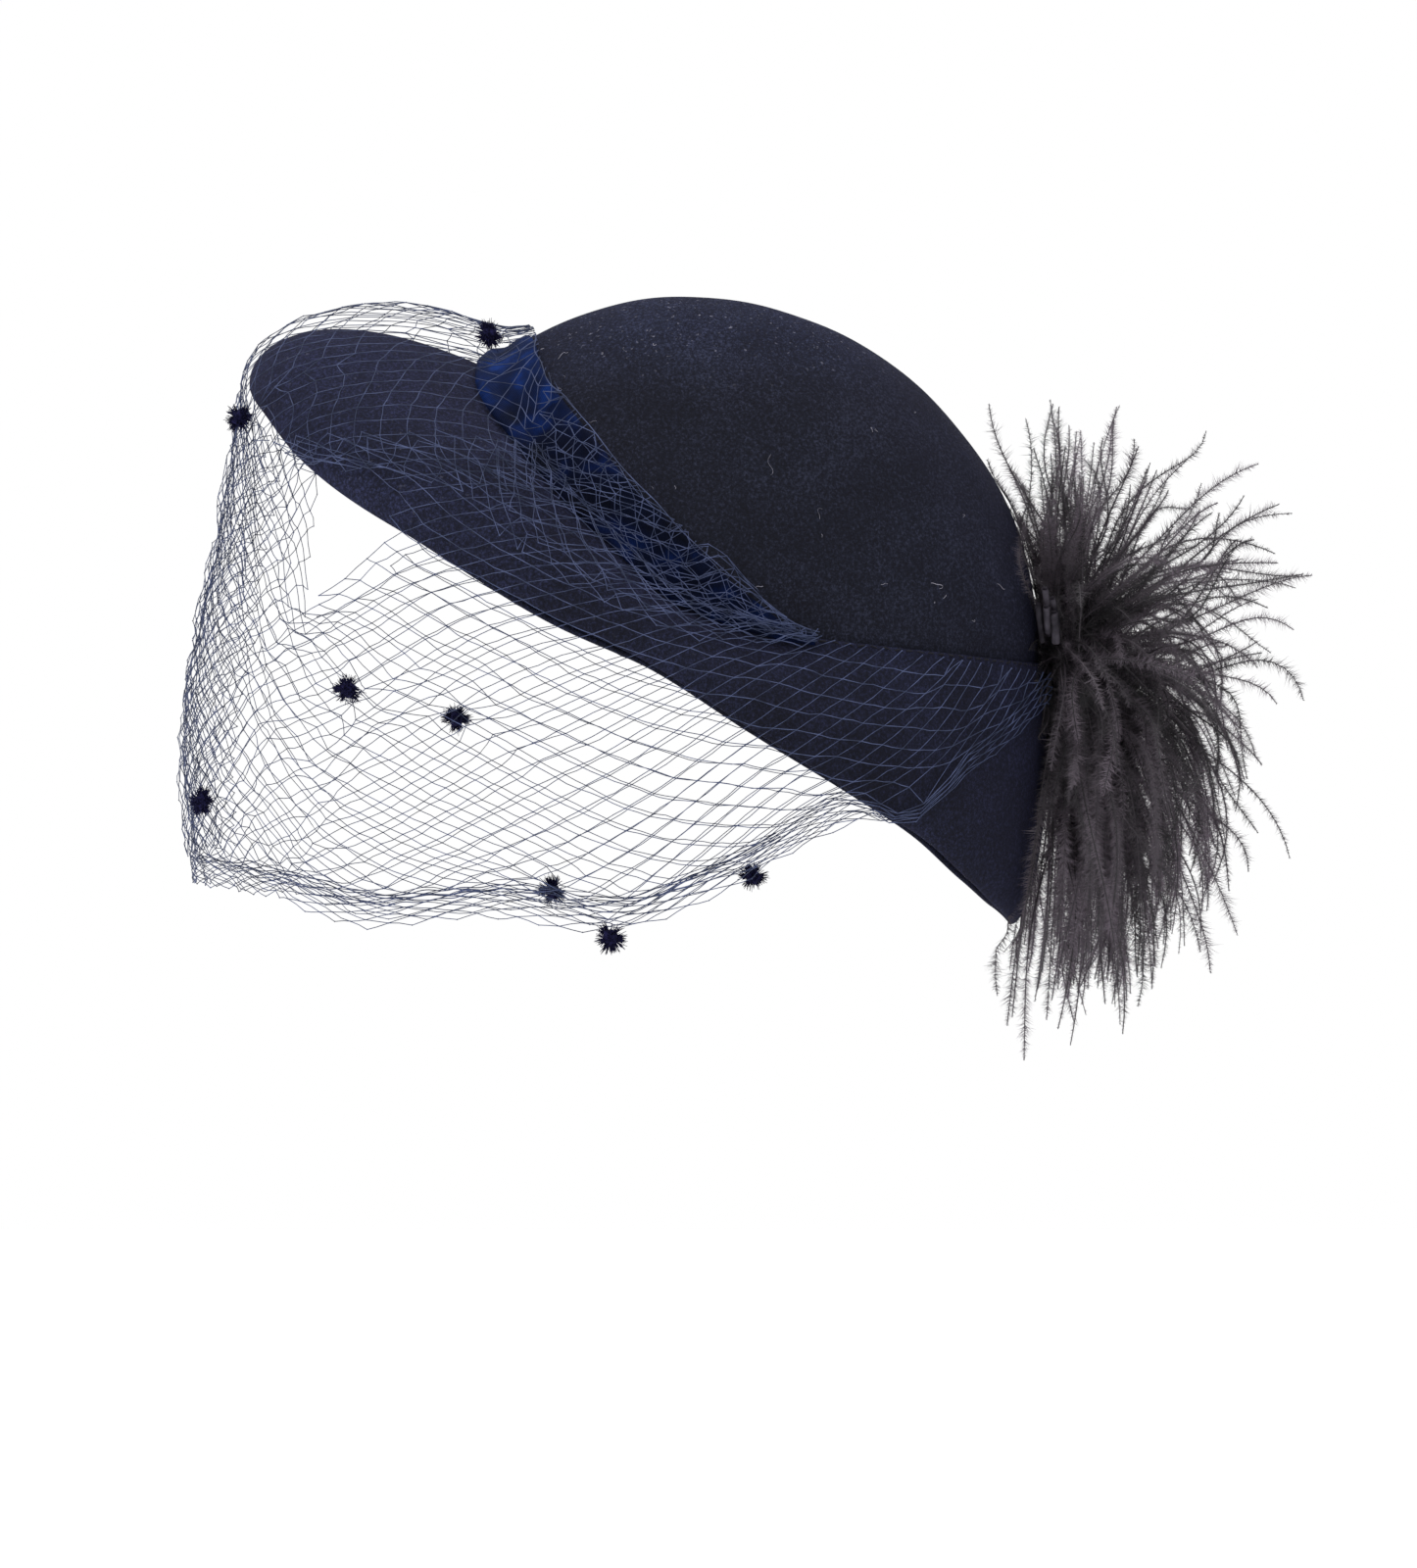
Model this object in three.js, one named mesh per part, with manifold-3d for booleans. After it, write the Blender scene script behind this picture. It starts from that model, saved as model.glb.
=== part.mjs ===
// A woman's felt bonnet hat: a domed crown, a brim that juts out over the brow and drops behind the
// ears to a point at the nape, a ribbon band, a net veil with chenille dots, and a feather pompon.
//
// Millimetres, +Z up. The origin is the inside top of the crown, where a head holds the hat.
// The front of the hat faces -Y and the wearer's left is +X. A "turn" is the angle round the hat seen
// from above, in degrees: 0 at the front, 90 at the wearer's left ear and 180 at the nape.

import * as THREE from 'three';
import { mergeVertices } from 'three/addons/utils/BufferGeometryUtils.js';
import Module from 'manifold-3d';

const wasm = await Module();
wasm.setup();

// ---------------------------------------------------------------- driving dimensions

const GAP = 0.3; // left between neighbouring pieces
const FELT = 2; // wall of the crown and of the brim
const RIBBON = 1; // wall of the hat band
const NET = 1; // wall of the veil

// The crown is half an ellipsoid on an oval head size, with straight walls below its spring line.
const CROWN = { halfWidth: 78, front: 99, back: 109.5, height: 109, turns: 40, rows: 10 };
const SPRING_Z = FELT - CROWN.height;
const HEM_MEETS_BRIM = 130; // the turn at which the veil's hem reaches the brim's edge

// The brim's edge is an oval in plan, whose middle lies in front of the crown's.
const BRIM = {
  halfWidth: 100, front: 120, back: 113, middleY: -12, blunt: 0.12, lap: 3, turns: 50, rows: 7,
};

// A row for each section of the brim: the height where it leaves the crown, the height of its edge,
// and how far it arches out from the straight line between the two.
const BRIM_SECTIONS = [
  { turn: 0, joinZ: -20.5, edgeZ: -25.6, arch: 15.3 },
  { turn: 15, joinZ: -22.8, edgeZ: -33, arch: 15.2 },
  { turn: 30, joinZ: -29.6, edgeZ: -48, arch: 14 },
  { turn: 52, joinZ: -45, edgeZ: -69.5, arch: 11 },
  { turn: 76, joinZ: -75, edgeZ: -96, arch: 8 },
  { turn: 90, joinZ: -95, edgeZ: -110, arch: 6.5 },
  { turn: 107, joinZ: -105.5, edgeZ: -131, arch: 5 },
  { turn: 127, joinZ: -109.5, edgeZ: -153, arch: 4.5 },
  { turn: 139, joinZ: -111.2, edgeZ: -164, arch: 4.6 },
  { turn: 151, joinZ: -112.6, edgeZ: -176.5, arch: 5 },
  { turn: 163, joinZ: -113.4, edgeZ: -185, arch: 5.4 },
  { turn: 180, joinZ: -114, edgeZ: -189.5, arch: 5.6 },
];

// The upper edge of the ribbon, which ends in a point above each ear.
const BAND_SECTIONS = [
  { turn: 0, topZ: -11 },
  { turn: 18, topZ: -11.6 },
  { turn: 33, topZ: -14.4 },
  { turn: 53, topZ: -25.6 },
  { turn: 70, topZ: -42 },
  { turn: 80, topZ: -57 },
  { turn: 90, topZ: -72 },
  { turn: 100, topZ: -90 },
  { turn: 111, topZ: -102.5 },
];
const BAND = { endTurn: 111, columns: 30, hem: 0.8, ease: 0.2, step: 3.2 };

// The veil from its sewn top edge, over the brim, to its hem. Loft is how high it stands over the
// brim beside the crown, gather is the share of its crossings that are drawn up on the crown, hem
// reach is how far the hem lies outside the brim's edge in plan, and belly is how far the net bows
// out on its way down. Brim share is how far down the brim the net lies, 1 being the brim's edge.
const VEIL_SECTIONS = [
  { turn: 0, loft: 13, gather: 0.08, brimShare: 1, hemZ: -177, hemReach: 14, belly: 8 },
  { turn: 30, loft: 11, gather: 0.1, brimShare: 1, hemZ: -181.5, hemReach: 8, belly: 7 },
  { turn: 50, loft: 6, gather: 0.16, brimShare: 1, hemZ: -190, hemReach: -1, belly: 5 },
  { turn: 68, loft: 3.5, gather: 0.26, brimShare: 1, hemZ: -187, hemReach: -8, belly: 4 },
  { turn: 85, loft: 2.4, gather: 0.34, brimShare: 1, hemZ: -191.5, hemReach: -9, belly: 3 },
  { turn: 106, loft: 2, gather: 0.38, brimShare: 1, hemZ: -177, hemReach: -3, belly: 1.5 },
  { turn: 120, loft: 1.6, gather: 0.36, brimShare: 1, hemZ: -162.5, hemReach: 1, belly: 0.5 },
  { turn: 130, loft: 1.4, gather: 0.34, brimShare: 1, hemZ: -156, hemReach: 1.5, belly: 0 },
  { turn: 140, loft: 1.2, gather: 0.32, brimShare: 0.45, hemZ: -150, hemReach: 1.5, belly: 0 },
  { turn: 150, loft: 1, gather: 0.3, brimShare: 0.24, hemZ: -150, hemReach: 1.5, belly: 0 },
  { turn: 160, loft: 1, gather: 0.3, brimShare: 0.12, hemZ: -150, hemReach: 1.5, belly: 0 },
  { turn: 168, loft: 1, gather: 0.3, brimShare: 0.08, hemZ: -150, hemReach: 1.5, belly: 0 },
];
const VEIL = {
  endTurn: 168, columns: 14, rows: 13, strand: 2.4, smallestGap: 3.6, pull: 1.1,
  overBand: 3.4, overStep: 5.4, overBrim: 2.5, overLap: 3.8,
};
// The turns between which the net goes over from spanning straight to the brim to following the felt,
// the ribbon narrows to its tip, and the net comes down from the ribbon on to the crown.
const SLACKENS = [10, 70];
const RIBBON_NARROWS = [95, 108];
const LEAVES_RIBBON = [112, 120];

// Where each chenille dot is tied to the veil: its turn and its fall, from the top edge to the hem.
const DOTS = [
  { name: 'veil_dot_brow', turn: 28, fall: 0.11 },
  { name: 'veil_dot_tip', turn: 18, fall: 0.44 },
  { name: 'veil_dot_cheek', turn: 48, fall: 0.69 },
  { name: 'veil_dot_mouth', turn: 21, fall: 0.89 },
  { name: 'veil_dot_jaw', turn: 86, fall: 1 },
  { name: 'veil_dot_far_cheek', turn: -62, fall: 0.71 },
  { name: 'veil_dot_far_jaw', turn: -76, fall: 0.95 },
  { name: 'veil_dot_far_ear', turn: -108, fall: 1 },
];
const DOT = { tip: 4.3, hollow: 3.1 }; // how far its tufts and the hollows between them reach out

// The feather pompon: locks spring from a knot at the back of the crown. Each ring of locks leans
// out from the hat by its own angle, and a lock reaches furthest where it hangs down.
const POMPON = {
  y: 119.1, z: -111, knot: [15, 7, 13], up: 90, side: 66, down: 110, width: 11, thick: 2.4,
};
const LOCK_RINGS = [
  { lean: -5, count: 13, reach: 1, droop: 8 },
  { lean: 20, count: 11, reach: 1, droop: 16 },
  { lean: 44, count: 9, reach: 0.96, droop: 26 },
  { lean: 70, count: 5, reach: 0.92, droop: 34 },
];

// ---------------------------------------------------------------- tables and curves

const { degToRad, lerp, smoothstep, clamp } = THREE.MathUtils;

/** The smooth value of one column of a table at a turn, the same on both sides of the hat. */
function column(table, name, turn) {
  const at = clamp(Math.abs(turn), table[0].turn, table[table.length - 1].turn);
  const last = table.length - 1;
  let row = 0;
  while (row < last - 1 && table[row + 1].turn < at) row += 1;
  const slope = (k) => {
    if (k === 0 || k === last) return 0;
    const [before, here, after] = [table[k - 1], table[k], table[k + 1]];
    const rise = (here[name] - before[name]) / (here.turn - before.turn);
    const fall = (after[name] - here[name]) / (after.turn - here.turn);
    return rise * fall <= 0 ? 0 : (2 * rise * fall) / (rise + fall);
  };
  const span = table[row + 1].turn - table[row].turn;
  const s = (at - table[row].turn) / span;
  const [a, b] = [table[row][name], table[row + 1][name]];
  const [da, db] = [slope(row) * span, slope(row + 1) * span];
  return (
    a * (2 * s ** 3 - 3 * s ** 2 + 1) + da * (s ** 3 - 2 * s ** 2 + s) +
    b * (3 * s ** 2 - 2 * s ** 3) + db * (s ** 3 - s ** 2)
  );
}

/** A point on the crown's outer face at a turn and a height, stood off it by some millimetres. */
function crownPoint(turn, z, stand = 0) {
  const angle = degToRad(turn);
  const rise = Math.max(z - SPRING_Z, 0) / CROWN.height;
  const spread = Math.sqrt(Math.max(1 - rise * rise, 0));
  const length = Math.cos(angle) > 0 ? CROWN.front : CROWN.back;
  const point = new THREE.Vector3(
    CROWN.halfWidth * spread * Math.sin(angle), -length * spread * Math.cos(angle), z);
  const out = new THREE.Vector3(
    point.x / CROWN.halfWidth ** 2, point.y / length ** 2, rise / CROWN.height).normalize();
  return point.addScaledVector(out, stand);
}

/** The brim's outer face: share runs from 0, where it leaves the crown, to 1 at its edge. */
function brimFace(turn, share) {
  const angle = degToRad(turn);
  const w = Math.sin((share * Math.PI) / 2);
  const join = crownPoint(turn, column(BRIM_SECTIONS, 'joinZ', turn), GAP + FELT);
  const length = Math.cos(angle) > 0 ? BRIM.front : BRIM.back;
  const edge = new THREE.Vector3(
    BRIM.halfWidth * Math.sin(angle) * (1 + BRIM.blunt * Math.max(Math.cos(angle), 0) ** 2),
    BRIM.middleY - length * Math.cos(angle),
    column(BRIM_SECTIONS, 'edgeZ', turn));
  const chord = edge.sub(join);
  const round = new THREE.Vector3(Math.cos(angle), Math.sin(angle), 0);
  const lift = chord.clone().cross(round).normalize();
  const peak = (2 / 3) * Math.sqrt(1 / 3); // the largest value of w * sqrt(1 - w)
  const arch = (column(BRIM_SECTIONS, 'arch', turn) * w * Math.sqrt(Math.max(1 - w, 0))) / peak;
  return join.addScaledVector(chord, w).addScaledVector(lift, arch);
}

/** The outward direction of a surface given by a function of (turn, share). */
function outward(face, turn, share) {
  const step = 0.01;
  const [low, high] = [Math.max(share - step, 0), Math.min(share + step, 1)];
  const down = face(turn, high).sub(face(turn, low));
  const round = face(turn + 0.5, share).sub(face(turn - 0.5, share));
  return down.cross(round).normalize();
}

/** The brim's outer face, stood off by some millimetres. */
function brimPoint(turn, share, stand = 0) {
  return brimFace(turn, share).addScaledVector(outward(brimFace, turn, share), stand);
}

/** The line that the veil follows at one turn, from its top edge to its hem. */
function veilSection(turn) {
  const [joinZ, topZ] = [column(BRIM_SECTIONS, 'joinZ', turn), column(BAND_SECTIONS, 'topZ', turn)];
  const value = (name) => column(VEIL_SECTIONS, name, turn);
  const side = Math.abs(turn);
  const past = smoothstep(side, ...LEAVES_RIBBON);
  const height = lerp(Math.max(topZ - joinZ, BRIM.lap), BRIM.lap, past) + 1;
  const topStand = lerp(
    lerp(VEIL.overBand, VEIL.overStep, smoothstep(side, ...RIBBON_NARROWS)), VEIL.overLap, past);
  const footStand = lerp(VEIL.overStep, VEIL.overLap, past);
  const loft = (w) => VEIL.overBrim + value('loft') * (1 - w * w) ** 2;
  const valley = brimPoint(turn, 0, loft(0));
  const top = crownPoint(turn, joinZ + height, topStand);
  const taut = 1 - smoothstep(side, ...SLACKENS);
  const line = shares(5).map((share) => {
    return crownPoint(turn, joinZ + height * (1 - share), lerp(topStand, footStand, share))
      .lerp(valley, share ** 3)
      .lerp(top.clone().lerp(valley, share), taut);
  });
  const onCrown = line.length - 1;
  for (const share of shares(10).slice(1)) {
    const w = share * value('brimShare');
    line.push(brimPoint(turn, w, loft(Math.sin((w * Math.PI) / 2))));
  }
  if (side < HEM_MEETS_BRIM) {
    const start = line[line.length - 1];
    const out = new THREE.Vector3(start.x, start.y - BRIM.middleY, 0).normalize();
    const hem = start.clone().addScaledVector(out, value('hemReach')).setZ(value('hemZ'));
    for (const share of shares(8).slice(1)) {
      const bow = value('belly') * Math.sin(Math.PI * share ** 1.6);
      line.push(start.clone().lerp(hem, share).addScaledVector(out, bow));
    }
  }
  return { line, onCrown };
}

/** How far down the veil, by its crossings, the brim's edge lies at one turn. */
function edgeFall(turn) {
  const { line, onCrown } = veilSection(turn);
  const length = (from, to) => {
    let sum = 0;
    for (let k = from + 1; k <= to; k += 1) sum += line[k].distanceTo(line[k - 1]);
    return sum;
  };
  const gather = column(VEIL_SECTIONS, 'gather', turn);
  const [brimLength, rest] = [length(onCrown, onCrown + 10), length(onCrown, line.length - 1)];
  return gather + (1 - gather) * brimLength / rest;
}

/** A point of the veil: fall runs from 0 at its top edge to 1 at its hem, by its crossings. */
function veilPoint(turn, fall) {
  const { line, onCrown } = veilSection(turn);
  const reach = [0];
  for (let k = 1; k < line.length; k += 1) reach.push(reach[k - 1] + line[k].distanceTo(line[k - 1]));
  const [mid, whole] = [reach[onCrown], reach[reach.length - 1]];
  const gather = column(VEIL_SECTIONS, 'gather', turn);
  const at = fall < gather
    ? (mid * fall) / gather : lerp(mid, whole, (fall - gather) / (1 - gather));
  let k = 1;
  while (k < line.length - 1 && reach[k] < at) k += 1;
  return line[k - 1].clone().lerp(line[k], (at - reach[k - 1]) / (reach[k] - reach[k - 1]));
}

// ---------------------------------------------------------------- meshes

/** A closed mesh from a list of corner points, three for each triangle. */
function solid(corners) {
  const geometry = new THREE.BufferGeometry();
  const values = new Float32Array(corners.flatMap((p) => [p.x, p.y, p.z]));
  geometry.setAttribute('position', new THREE.BufferAttribute(values, 3));
  const merged = mergeVertices(geometry, 1e-4);
  const kept = [];
  for (let k = 0; k < merged.index.count; k += 3) {
    const [a, b, c] = [merged.index.getX(k), merged.index.getX(k + 1), merged.index.getX(k + 2)];
    if (a !== b && b !== c && c !== a) kept.push(a, b, c);
  }
  merged.setIndex(kept);
  merged.computeVertexNormals();
  return merged;
}

/** A wall between an outer and an inner grid of points, closed round every free border. */
function wall(outer, inner, wraps) {
  const corners = [];
  const quad = (a, b, c, d) => corners.push(a, b, c, a, c, d);
  const [rows, columns] = [outer.length - 1, outer[0].length - (wraps ? 0 : 1)];
  const next = (c) => (c + 1) % outer[0].length;
  for (let c = 0; c < columns; c += 1) {
    const d = next(c);
    for (let r = 0; r < rows; r += 1) {
      quad(outer[r][c], outer[r + 1][c], outer[r + 1][d], outer[r][d]);
      quad(inner[r][c], inner[r][d], inner[r + 1][d], inner[r + 1][c]);
    }
    quad(outer[rows][c], inner[rows][c], inner[rows][d], outer[rows][d]);
    quad(outer[0][c], outer[0][d], inner[0][d], inner[0][c]);
  }
  if (!wraps) {
    for (let r = 0; r < rows; r += 1) {
      quad(outer[r][0], inner[r][0], inner[r + 1][0], outer[r + 1][0]);
      quad(outer[r][columns], outer[r + 1][columns], inner[r + 1][columns], inner[r][columns]);
    }
  }
  return solid(corners);
}

/** A sheet with thickness, from its middle points, their outward directions and its faces. */
function thickSheet(points, outs, faces, thick) {
  const front = points.map((p, k) => p.clone().addScaledVector(outs[k], thick / 2));
  const back = points.map((p, k) => p.clone().addScaledVector(outs[k], -thick / 2));
  const sides = new Set(faces.flatMap(([a, b, c]) => [`${a} ${b}`, `${b} ${c}`, `${c} ${a}`]));
  const corners = [];
  for (const [a, b, c] of faces) {
    corners.push(front[a], front[b], front[c], back[a], back[c], back[b]);
    for (const [from, to] of [[a, b], [b, c], [c, a]]) {
      if (sides.has(`${to} ${from}`)) continue; // another face lies beyond this side
      corners.push(front[from], back[from], back[to], front[from], back[to], front[to]);
    }
  }
  return solid(corners);
}

/** The numbers from 0 to 1 in equal steps, both ends included. */
const shares = (steps) => Array.from({ length: steps + 1 }, (_, k) => k / steps);

/** The turns of a full circle, or from minus one end to the other. */
const fullTurns = (steps) => Array.from({ length: steps }, (_, k) => (360 * k) / steps - 180);
const bothSides = (end, steps) => shares(steps).map((s) => lerp(-end, end, s));

// ---------------------------------------------------------------- the pieces

/** The crown, from the middle of its top down to where the brim leaves it. */
function crown() {
  const skin = (stand) => shares(CROWN.rows).map((share) => fullTurns(CROWN.turns).map((turn) => {
    const joinZ = column(BRIM_SECTIONS, 'joinZ', turn);
    const rise = (joinZ - SPRING_Z) / CROWN.height;
    const angle = share * (rise > 0 ? Math.acos(rise) : Math.PI / 2 - rise);
    const z = SPRING_Z + CROWN.height * (angle < Math.PI / 2 ? Math.cos(angle) : Math.PI / 2 - angle);
    return crownPoint(share === 0 ? 0 : turn, z, stand);
  }));
  return wall(skin(0), skin(-FELT), true);
}

/** The brim, with an upstand that laps over the foot of the crown. */
function brim() {
  const lapRow = (stand) => fullTurns(BRIM.turns).map((turn) =>
    crownPoint(turn, column(BRIM_SECTIONS, 'joinZ', turn) + BRIM.lap, stand));
  const row = (share, stand) => fullTurns(BRIM.turns).map((turn) => brimPoint(turn, share, stand));
  const foot = fullTurns(BRIM.turns).map((turn) =>
    crownPoint(turn, column(BRIM_SECTIONS, 'joinZ', turn), GAP));
  const flare = shares(BRIM.rows).slice(1);
  const outer = [lapRow(GAP + FELT), row(0, 0), ...flare.map((share) => row(share, 0))];
  const inner = [lapRow(GAP), foot, ...flare.map((share) => row(share, -FELT))];
  return wall(outer, inner, true);
}

/** The ribbon round the front of the crown, which steps out over the brim's upstand. */
function hatBand() {
  const seat = 2 * GAP + FELT + BAND.ease; // how far it stands off the crown where it covers the upstand
  const [stepFoot, stepTop] = [BRIM.lap + BAND.ease, BRIM.lap + BAND.step];
  const heights = (width) => [
    width, (width + Math.min(width, stepTop)) / 2,
    Math.min(width, stepTop), Math.min(width, stepFoot), BAND.hem];
  const skin = (thick) => shares(4).map((_, row) => bothSides(BAND.endTurn, BAND.columns)
    .map((turn) => {
      const joinZ = column(BRIM_SECTIONS, 'joinZ', turn);
      const height = heights(column(BAND_SECTIONS, 'topZ', turn) - joinZ)[row];
      const stand = lerp(seat, GAP + BAND.ease, smoothstep(height, stepFoot, stepTop));
      return crownPoint(turn, joinZ + height, stand + thick);
    }));
  return wall(skin(RIBBON), skin(0), false);
}

/** The crossing of the net in column i and row j, drawn towards the dots near it. */
function crossing(i, j) {
  const [across, down] = [VEIL.endTurn / VEIL.columns, 1 / VEIL.rows];
  let [turn, fall] = [i * across, j * down];
  for (const dot of DOTS) {
    const [column, row] = dotCrossing(dot);
    const away = (column - i) ** 2 + (row - j) ** 2;
    const pull = Math.exp(-away / VEIL.pull ** 2);
    turn += pull * (dot.turn - column * across);
    fall += pull * (dot.fall - row * down);
  }
  const edge = j === 0 || j === VEIL.rows;
  return [Math.abs(i) === VEIL.columns ? i * across : turn, edge ? j * down : fall];
}

/** The column and row of the crossing that a dot is tied to. */
function dotCrossing(dot) {
  const [i, j] = [(dot.turn * VEIL.columns) / VEIL.endTurn, dot.fall * VEIL.rows];
  const row = Math.round(j);
  const column = 2 * Math.round((i - (row % 2)) / 2) + (row % 2);
  return [column, row];
}

/** The veil: net with one gap cut through each diamond that is large enough to be open. */
function veil() {
  const [points, outs, faces] = [[], [], []];
  const places = new Map();
  const place = (turn, fall) => {
    const key = `${turn.toFixed(3)} ${fall.toFixed(4)}`;
    if (!places.has(key)) {
      places.set(key, points.length);
      points.push(veilPoint(turn, fall));
      outs.push(outward(veilPoint, turn, fall));
    }
    return places.get(key);
  };
  for (let i = -VEIL.columns; i <= VEIL.columns; i += 1) {
    for (let j = 0; j <= VEIL.rows; j += 1) {
      if ((i + j) % 2 === 0) continue;
      const corners = [[i, j - 1], [i - 1, j], [i, j + 1], [i + 1, j]]
        .filter(([a, b]) => Math.abs(a) <= VEIL.columns && b >= 0 && b <= VEIL.rows);
      if (corners.length < 3 || (j === VEIL.rows)) continue;
      const rim = [];
      corners.forEach(([a, b], k) => {
        const [from, to] = [crossing(a, b), crossing(...corners[(k + 1) % corners.length])];
        const hangs = Math.min(from[1], to[1]) > edgeFall(Math.abs(from[0])) + 0.02
          && Math.min(from[1], to[1]) > edgeFall(Math.abs(to[0])) + 0.02;
        const steps = hangs ? 1 : 2;
        for (let n = 0; n < steps; n += 1) {
          rim.push([lerp(from[0], to[0], n / steps), lerp(from[1], to[1], n / steps)]);
        }
      });
      const ring = rim.map(([turn, fall]) => place(turn, fall));
      const middle = crossing(i, j);
      const centre = veilPoint(...middle);
      const nearest = Math.min(...rim.map((_, k) => {
        const [p, q] = [points[ring[k]], points[ring[(k + 1) % ring.length]]];
        return new THREE.Line3(p, q).closestPointToPoint(centre, true, new THREE.Vector3())
          .distanceTo(centre);
      }));
      const keep = 1 - VEIL.strand / 2 / nearest;
      if (corners.length < 4 || nearest * keep < VEIL.smallestGap) {
        const hub = place(...middle);
        ring.forEach((a, k) => {
          const b = ring[(k + 1) % ring.length];
          if (a !== hub && b !== hub) faces.push([a, b, hub]);
        });
        continue;
      }
      const hole = rim.map(([turn, fall]) =>
        place(lerp(middle[0], turn, keep), lerp(middle[1], fall, keep)));
      ring.forEach((a, k) => {
        const next = (k + 1) % ring.length;
        faces.push([a, ring[next], hole[next]], [a, hole[next], hole[k]]);
      });
    }
  }
  return thickSheet(points, outs, faces, NET);
}

/** A chenille dot: a burr whose tufts stand out, with one of them on the net. */
function veilDot(dot) {
  const [turn, fall] = crossing(...dotCrossing(dot));
  const out = outward(veilPoint, turn, fall);
  const centre = veilPoint(turn, fall).addScaledVector(out, NET / 2 + GAP + DOT.tip);
  const tufts = mergeVertices(new THREE.IcosahedronGeometry(1, 0).deleteAttribute('normal')
    .deleteAttribute('uv')).attributes.position;
  const tuft = (k) => new THREE.Vector3().fromBufferAttribute(tufts, k).normalize();
  const turned = new THREE.Quaternion().setFromUnitVectors(tuft(0), out.clone().negate());
  const burr = new THREE.IcosahedronGeometry(1, 1).attributes.position;
  const corners = Array.from({ length: burr.count }, (_, k) => {
    const ray = new THREE.Vector3().fromBufferAttribute(burr, k).normalize();
    const onTuft = shares(tufts.count - 1).some((_, n) => tuft(n).dot(ray) > 0.99);
    return ray.multiplyScalar(onTuft ? DOT.tip : DOT.hollow).applyQuaternion(turned).add(centre);
  });
  return solid(corners);
}

/** One lock of feather: a tapered strip that bows down under its own weight. */
function lock(direction, reach, droop) {
  const knot = new THREE.Vector3(0, POMPON.y, POMPON.z);
  const path = (s) => knot.clone().addScaledVector(direction, reach * s)
    .add(new THREE.Vector3(0, 0, -droop * s * s));
  const steps = 4;
  const rings = shares(steps).slice(0, -1).map((s) => {
    const along = path(s + 0.05).sub(path(s)).normalize();
    const side = along.clone().cross(new THREE.Vector3(0.2, 1, 0.3)).normalize();
    const face = side.clone().cross(along);
    const half = (POMPON.width / 2) * (0.4 + 1.7 * s) * (1 - 0.7 * s * s);
    const middle = path(s);
    return [
      middle.clone().addScaledVector(side, half).addScaledVector(face, -POMPON.thick / 2),
      middle.clone().addScaledVector(face, POMPON.thick),
      middle.clone().addScaledVector(side, -half).addScaledVector(face, -POMPON.thick / 2),
    ];
  });
  const corners = [...rings[0]];
  rings.forEach((ring, r) => {
    for (let k = 0; k < 3; k += 1) {
      const m = (k + 1) % 3;
      if (r === rings.length - 1) corners.push(ring[m], ring[k], path(1));
      else corners.push(ring[m], ring[k], rings[r + 1][k], ring[m], rings[r + 1][k], rings[r + 1][m]);
    }
  });
  return solid(corners);
}

/** A three.js geometry as a manifold-3d solid, and back. */
function toManifold(geometry) {
  const bare = new THREE.BufferGeometry().setAttribute('position', geometry.attributes.position);
  bare.setIndex(geometry.index);
  const merged = mergeVertices(bare, 1e-4);
  return new wasm.Manifold(new wasm.Mesh({
    numProp: 3, vertProperties: merged.attributes.position.array,
    triVerts: new Uint32Array(merged.index.array),
  }));
}
function fromManifold(joined) {
  const { numProp, vertProperties, triVerts } = joined.getMesh();
  const corner = (v) => new THREE.Vector3().fromArray(vertProperties, v * numProp);
  return solid(Array.from(triVerts, corner));
}

/** The feather pompon: rings of locks fused to the knot that binds them. */
function featherPompon() {
  const knot = new THREE.SphereGeometry(1, 12, 8).scale(...POMPON.knot)
    .translate(0, POMPON.y, POMPON.z);
  let joined = toManifold(knot);
  LOCK_RINGS.forEach(({ lean, count, reach, droop }, ring) => {
    for (let k = 0; k < count; k += 1) {
      const around = (2 * Math.PI * (k + 0.5 * (ring % 2))) / count;
      const tilt = degToRad(lean);
      const direction = new THREE.Vector3(
        Math.cos(tilt) * Math.sin(around), Math.sin(tilt), Math.cos(tilt) * Math.cos(around));
      const [high, low] = [Math.max(direction.z, 0) ** 2, Math.max(-direction.z, 0) ** 2];
      const length = POMPON.side + (POMPON.up - POMPON.side) * high
        + (POMPON.down - POMPON.side) * low;
      joined = joined.add(toManifold(lock(direction, length * reach, droop)));
    }
  });
  return fromManifold(joined);
}

// ---------------------------------------------------------------- the model

const hat = new THREE.Group();
function add(name, geometry, color, roughness) {
  const mesh = new THREE.Mesh(geometry, new THREE.MeshStandardMaterial({
    color, roughness, metalness: 0, side: THREE.FrontSide }));
  mesh.name = name;
  hat.add(mesh);
}

add('crown', crown(), 0x24242f, 0.95);
add('brim', brim(), 0x2b2b3c, 0.95);
add('hat_band', hatBand(), 0x14264f, 0.8);
add('veil', veil(), 0x1b2340, 0.7);
DOTS.forEach((dot) => add(dot.name, veilDot(dot), 0x14162b, 1));
add('feather_pompon', featherPompon(), 0x3c353a, 0.9);

export default hat;
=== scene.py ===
"""Looks of a felt bonnet hat: wool felt, a ribbon, a net veil with chenille dots and a feather pompon.

Sizes in the code are millimetres and the scene is in metres. The front of the hat faces -Y and the
wearer's left is +X. A turn is the angle round the hat seen from above, in degrees: 0 at the front, 90 at
the wearer's left ear and 180 at the nape.
"""

import logging
import math
from dataclasses import dataclass, field
from enum import Enum

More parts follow.
